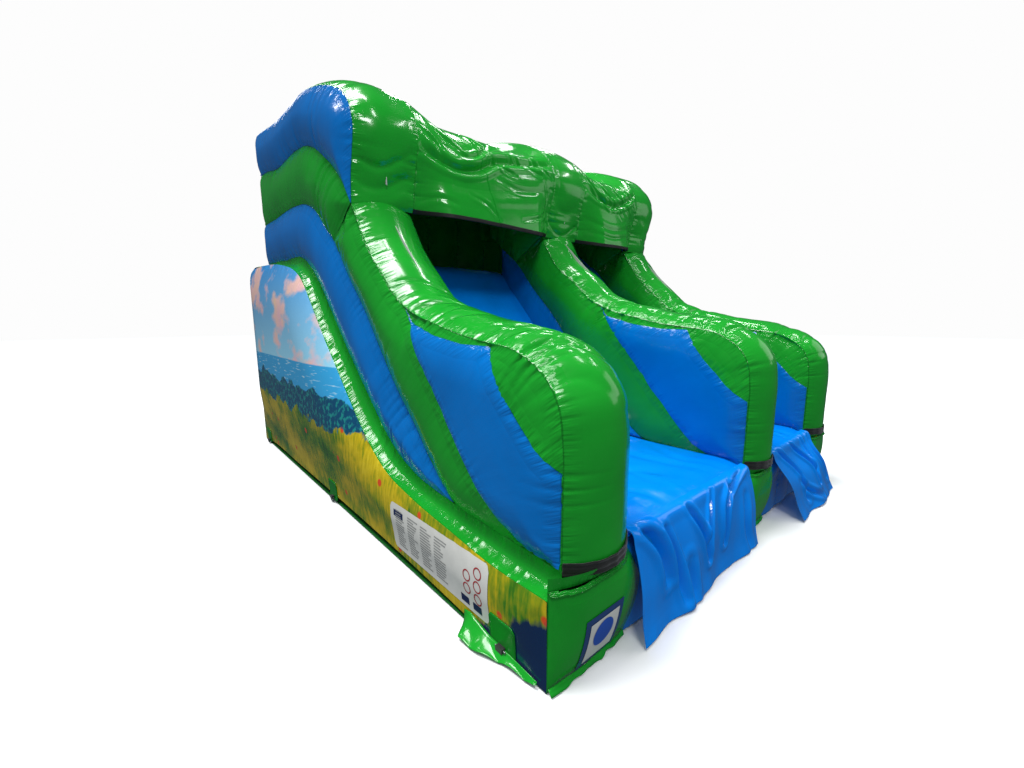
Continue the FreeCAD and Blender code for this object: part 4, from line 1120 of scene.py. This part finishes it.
# %% [markdown]
# ## Straps, labels and the printed sides
# Small sewn things give the slide its scale: a 50 mm strap at each column's foot, a document pocket, and a
# white information label. Their marks are plain bars and rings, and the picture is a landscape with nobody
# in it.

# %% Column straps
STRAP_LOW, STRAP_HIGH = COLUMN_FOOT - 0.008, COLUMN_FOOT + 0.042
for side, span in WALLS.items():
    width = span[1] - span[0]
    t, v = denser(60)[:, None], np.linspace(0, 1, 15)[None, :]
    out = (COLUMN_BULGE + 0.004) * swell(np.minimum(t, 1 - t) * width, width / 2) + 0.003
    out = out + 0.0018 * np.cos(v * 4 * math.pi)
    out = out + 0.002 * uneven(t + 0 * v, 0.05, 840)
    sagging = -0.006 * np.sin(math.pi * t)
    x = span[0] + t * width + 0 * v
    z = STRAP_LOW + v * (STRAP_HIGH - STRAP_LOW) + sagging
    band = (np.stack([x, FRONT - out, z], -1), 0 * x + 1, x, z)
    sewn(f"{side}_foot_strap", [turned(band)], WEBBING, [f"column_strap_{side}"],
         thickness=0.003)

# %% The printed sides


def picture_panel(x, facing):
    """A printed side, with its place in the side view as its coordinates."""
    points, seam, along, across = side_panel(PRINT_EDGE, GROUND_EDGE, x, facing, print_swell, rows=40)
    return points, seam, points[..., 1] - FRONT, points[..., 2]


def print_swell(places):
    """The picture bulges less near the ground, where the base's weight and the anchors hold it in."""
    level, gap, along = print_rise(places)
    return level * (0.12 + 0.88 * np.clip((places[..., 1] - 0.1) / 0.5, 0, 1)), gap, along


for side, x, facing in (("left", BASE[0], -1), ("right", BASE[1], 1)):
    sewn(f"{side}_picture", [picture_panel(x, facing)], PICTURE, [f"art_panel_{side}"])


def on_side(y, z, lift):
    """A place on a printed side, a little proud of it."""
    places = np.stack([np.asarray(y, float), np.asarray(z, float)], -1)
    level = print_swell(places)[0]
    x = np.broadcast_to(BASE[0] - level - lift, places.shape[:-1])
    return np.stack([x, FRONT + places[..., 0], places[..., 1]], -1)


def side_patch(low_corner, high_corner, lift, count, corner=0.0):
    """A flat patch laid on the left printed side, with rounded corners if asked."""
    t, v = np.linspace(0, 1, count[0])[:, None], np.linspace(0, 1, count[1])[None, :]
    y = low_corner[0] + t * (high_corner[0] - low_corner[0]) + 0 * v
    z = low_corner[1] + v * (high_corner[1] - low_corner[1]) + 0 * t
    if corner:
        near_end = np.minimum(y - low_corner[0], high_corner[0] - y)
        pull = corner - np.sqrt(np.clip(corner**2 - (corner - np.minimum(near_end, corner)) ** 2, 0, None))
        middle = (low_corner[1] + high_corner[1]) / 2
        half_height = (high_corner[1] - low_corner[1]) / 2
        z = middle + (z - middle) * (half_height - pull) / half_height
    return on_side(y, z, lift), 0 * y + 1, y, z


def rings(centres, radius, width, lift):
    """Flat rings on the left printed side."""
    turn = np.linspace(0, 2 * np.pi, 33)[:, None]
    grids = []
    for y, z in centres:
        r = radius + np.array([[-width / 2, width / 2]])
        points = on_side(y + r * np.cos(turn), z + r * np.sin(turn), lift)
        grids.append((points, 0 * (r + turn) + 1, r + turn, r + turn))
    return grids


# %% The information label
label_low, label_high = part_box("info_label")
LABEL = ((label_low.y - FRONT, label_low.z), (label_high.y - FRONT, label_high.z))
LABEL_CORNER = 0.03
sewn("information_label", [side_patch(*LABEL, 0.002, (70, 16), LABEL_CORNER)], LABEL_VINYL,
     ["info_label"])
rng = np.random.default_rng(9)
bars = []
column_starts = LABEL[0][0] + 0.3 + 0.13 * np.arange(4)
for start in column_starts:
    for row in range(15):
        z = LABEL[0][1] + 0.03 + row * 0.0145
        reach = 0.105 * rng.uniform(0.55, 1.0)
        bars.append(side_patch((start + 0.11 - reach, z), (start + 0.11, z + 0.006), 0.003, (4, 2)))
sewn("label_bars", bars, GREY_INK)
front, foot = LABEL[0]
ring_spots = [(front + 0.07 + 0.075 * (i % 2), foot + 0.085 + 0.06 * (i // 2) + 0.02 * (i % 2))
              for i in range(5)]
sewn("label_rings", rings(ring_spots, 0.024, 0.006, 0.003), RED_INK)
squares = [side_patch((front + 0.05 + 0.09 * i, foot + 0.02), (front + 0.11 + 0.09 * i, foot + 0.055), 0.003,
                      (4, 4)) for i in range(2)]
rear, top = LABEL[1]
squares.append(side_patch((rear - 0.14, top - 0.07), (rear - 0.04, top - 0.035), 0.003, (6, 4)))
sewn("label_blocks", squares, NAVY_INK)

# %% The pocket and its card
pocket_low, pocket_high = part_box("sign_pocket")
card_low, card_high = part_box("sign_card")
foot_span = (BASE[0], WALLS["left"][1])


def on_foot(x, z, lift):
    """A place on the left foot's front, a little proud of it."""
    width = foot_span[1] - foot_span[0]
    t = (x - foot_span[0]) / width
    for _ in range(6):
        t = np.clip((x - foot_spread(t, z, FOOT_SIDES["left"]) - foot_span[0]) / width, 0, 1)
    return np.stack([x, FRONT - foot_face(t, z, width) - lift, z], -1)


def foot_patch(low_corner, high_corner, lift, count=16):
    """A flat patch laid on the left foot's front."""
    t, v = np.linspace(0, 1, count)[:, None], np.linspace(0, 1, count)[None, :]
    x = low_corner.x + t * (high_corner.x - low_corner.x) + 0 * v
    z = low_corner.z + v * (high_corner.z - low_corner.z) + 0 * t
    return turned((on_foot(x, z, lift), 0 * x + 1, x, z))


sewn("sign_pocket_panel", [foot_patch(pocket_low, pocket_high, 0.003)], POCKET_VINYL,
     ["sign_pocket"])
sewn("sign_card_panel", [foot_patch(card_low, card_high, 0.0045)], LABEL_VINYL, ["sign_card"])
turn = np.linspace(0, 2 * np.pi, 49)[:, None]
r = np.linspace(0.001, 0.06, 4)[None, :]
disc_x, disc_z = (card_low.x + card_high.x) / 2, (card_low.z + card_high.z) / 2 + 0.02
disc_points = on_foot(disc_x + r * np.cos(turn), disc_z + r * np.sin(turn), 0.006)
disc = (disc_points, 0 * (r + turn) + 1, r + turn, r + turn)
sewn("sign_card_disc", [disc], BLUE_INK)

# %% [markdown]
# ## Anchors, zip, inlet and edges
# The slide is staked through steel D-rings on webbing loops, on patches welded to its base. At the rear is
# the blower's sleeve, tied off with a strap, and the long zip that lets the air out.

# %% Anchor patches
PATCH = (0.16, 0.15)
PATCH_LIFT = 0.015
patches = []
for corner in ("front", "middle", "rear"):
    low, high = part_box(f"d_ring_{corner}_left")
    y = (low.y + high.y) / 2 - FRONT
    near, far = (y - PATCH[0] / 2, PATCH_LIFT), (y + PATCH[0] / 2, PATCH_LIFT + PATCH[1])
    left = side_patch(near, far, 0.003, (12, 12), corner=0.02)
    mirrored = left[0] * (-1, 1, 1)
    patches += [left, turned((mirrored, *left[1:]))]
sewn("welded_patches", patches, PATCH_CLOTH, ["anchor_patches"], thickness=0.003)

# %% Loose edges on the ground
t, v = np.linspace(0, 1, 60)[:, None], np.linspace(0, 1, 10)[None, :]
tab_y = 0.04 + 0.46 * t + 0 * v
tab_reach = np.interp(t, [0, 0.35, 0.6, 0.85, 1], [0.01, 0.03, 0.075, 0.085, 0.004])
tab_x = BASE[0] - 0.008 - tab_reach * v
tab_z = np.interp(t, [0, 0.6, 0.9, 1], [0.02, 0.04, 0.07, 0.06]) * (1 - v) ** 1.5 + 0.008
tab_z = tab_z + 0.012 * np.abs(np.sin(11 * t + 2 * v)) * v
tab = (np.stack([tab_x, FRONT + tab_y, tab_z], -1), 0 * tab_y + 1, tab_y, tab_reach * v)
sewn("loose_ground_tab", [tab], GREEN, thickness=0.0015)
hems = []
for side, (near, far) in WALLS.items():
    span = {"left": (BASE[0], far), "centre": (near, far), "right": (near, BASE[1])}[side]
    width = span[1] - span[0]
    t, v = np.linspace(0, 1, 70)[:, None], np.linspace(0, 1, 4)[None, :]
    x = span[0] + t * width + 0 * v
    reach = 0.008 + 0.014 * v * (1 + 0.5 * uneven(t, 0.09, 860 + len(hems)))
    z = 0.018 * (1 - v) + 0.005 + 0.004 * uneven(t + 0.3 * v, 0.09, 865)
    hems.append((np.stack([x, FRONT - reach - 0.01 * np.sin(math.pi * t), z], -1), 0 * x + 1, x, v + 0 * t))
    flange_z = FOOT_TOP + 0.004 - 0.016 * v + 0.003 * uneven(t + 0 * v, 0.05, 870)
    flange_out = foot_face(t, np.full_like(x, FOOT_TOP), width) + 0.004 + 0.01 * v
    hems.append((np.stack([x, FRONT - flange_out, flange_z], -1), 0.002 + 0.012 * v + 0 * t, x, v + 0 * t))
sewn("foot_hems", [turned(hem) for hem in hems], GREEN, thickness=0.0015)

# %% The inlet sleeve
sleeve_low, sleeve_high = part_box("inlet_sleeve")
strap_low, strap_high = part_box("inlet_strap")
SLEEVE_RADIUS = (sleeve_high.x - sleeve_low.x) / 2
sleeve_x, sleeve_z = (sleeve_low.x + sleeve_high.x) / 2, (sleeve_low.z + sleeve_high.z) / 2
turn, run = np.linspace(0, 2 * np.pi, 97)[:, None], np.linspace(0, 1, 60)[None, :]
sleeve_y = sleeve_low.y + run * (sleeve_high.y - sleeve_low.y)
at_strap = np.exp(-(((sleeve_y - (strap_low.y + strap_high.y) / 2) / 0.05) ** 2))
at_base = np.exp(-(run * 8))
wrinkle = 0.005 * np.sin(9 * turn + 2 * np.sin(5 * run)) + 0.004 * np.sin(17 * turn + 3)
radius = SLEEVE_RADIUS - 0.003 - (0.004 + wrinkle * 0.6) * (1 - at_strap)
radius = radius - (0.004 + 0.004 * np.sin(23 * turn)) * at_base
sleeve_points = np.stack([sleeve_x + radius * np.cos(turn), sleeve_y + 0 * turn,
                          sleeve_z + radius * np.sin(turn)], -1)
sleeve = (sleeve_points, 0 * radius + 1, turn * SLEEVE_RADIUS + 0 * run, sleeve_y + 0 * turn)
sewn("blower_sleeve", [sleeve], SLEEVE_CLOTH, ["inlet_sleeve"], thickness=0.0015)


def hung_flap(node, ripple, seed):
    """A thin sheet in place of a node's box on the rear: flat along its top and rippled lower down."""
    low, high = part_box(node)
    t, v = np.linspace(0, 1, 90)[:, None], np.linspace(0, 1, 20)[None, :]
    x, z = low.x + t * (high.x - low.x) + 0 * v, high.z - v * (high.z - low.z) + 0 * t
    y = (low.y + high.y) / 2 + ripple * v * uneven(t + 0.1 * v, 0.12, seed)
    return np.stack([x, y + 0 * t, z], -1), np.minimum(v, 1 - v) * 0.1 + 0.002 + 0 * t, x, z


sewn("zip_cover_flap", [hung_flap("zip_cover", 0.004, 880)], GREEN, ["zip_cover"],
     body="zip_cover", thickness=0.0025)
sewn("zip_cover_seam_band", [hung_flap("zip_cover_band", 0.001, 881)], GREEN, ["zip_cover_band"],
     thickness=0.0025)

# %% Materials of the nodes that stay as they are
STAYING = {
    "anchor_loops": WEBBING, "inlet_strap": WEBBING, "zip_tape": ZIP_NYLON, "zip_slider": ZIP_NYLON,
    "base_webs": WEB_CLOTH, "wall_webs": WEB_CLOTH, "inlet_flap": WEB_CLOTH,
}
for name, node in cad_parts.items():
    if name in STAYING or name.startswith("d_ring"):
        node.data.materials.clear()
        node.data.materials.append(STAYING.get(name, STEEL))
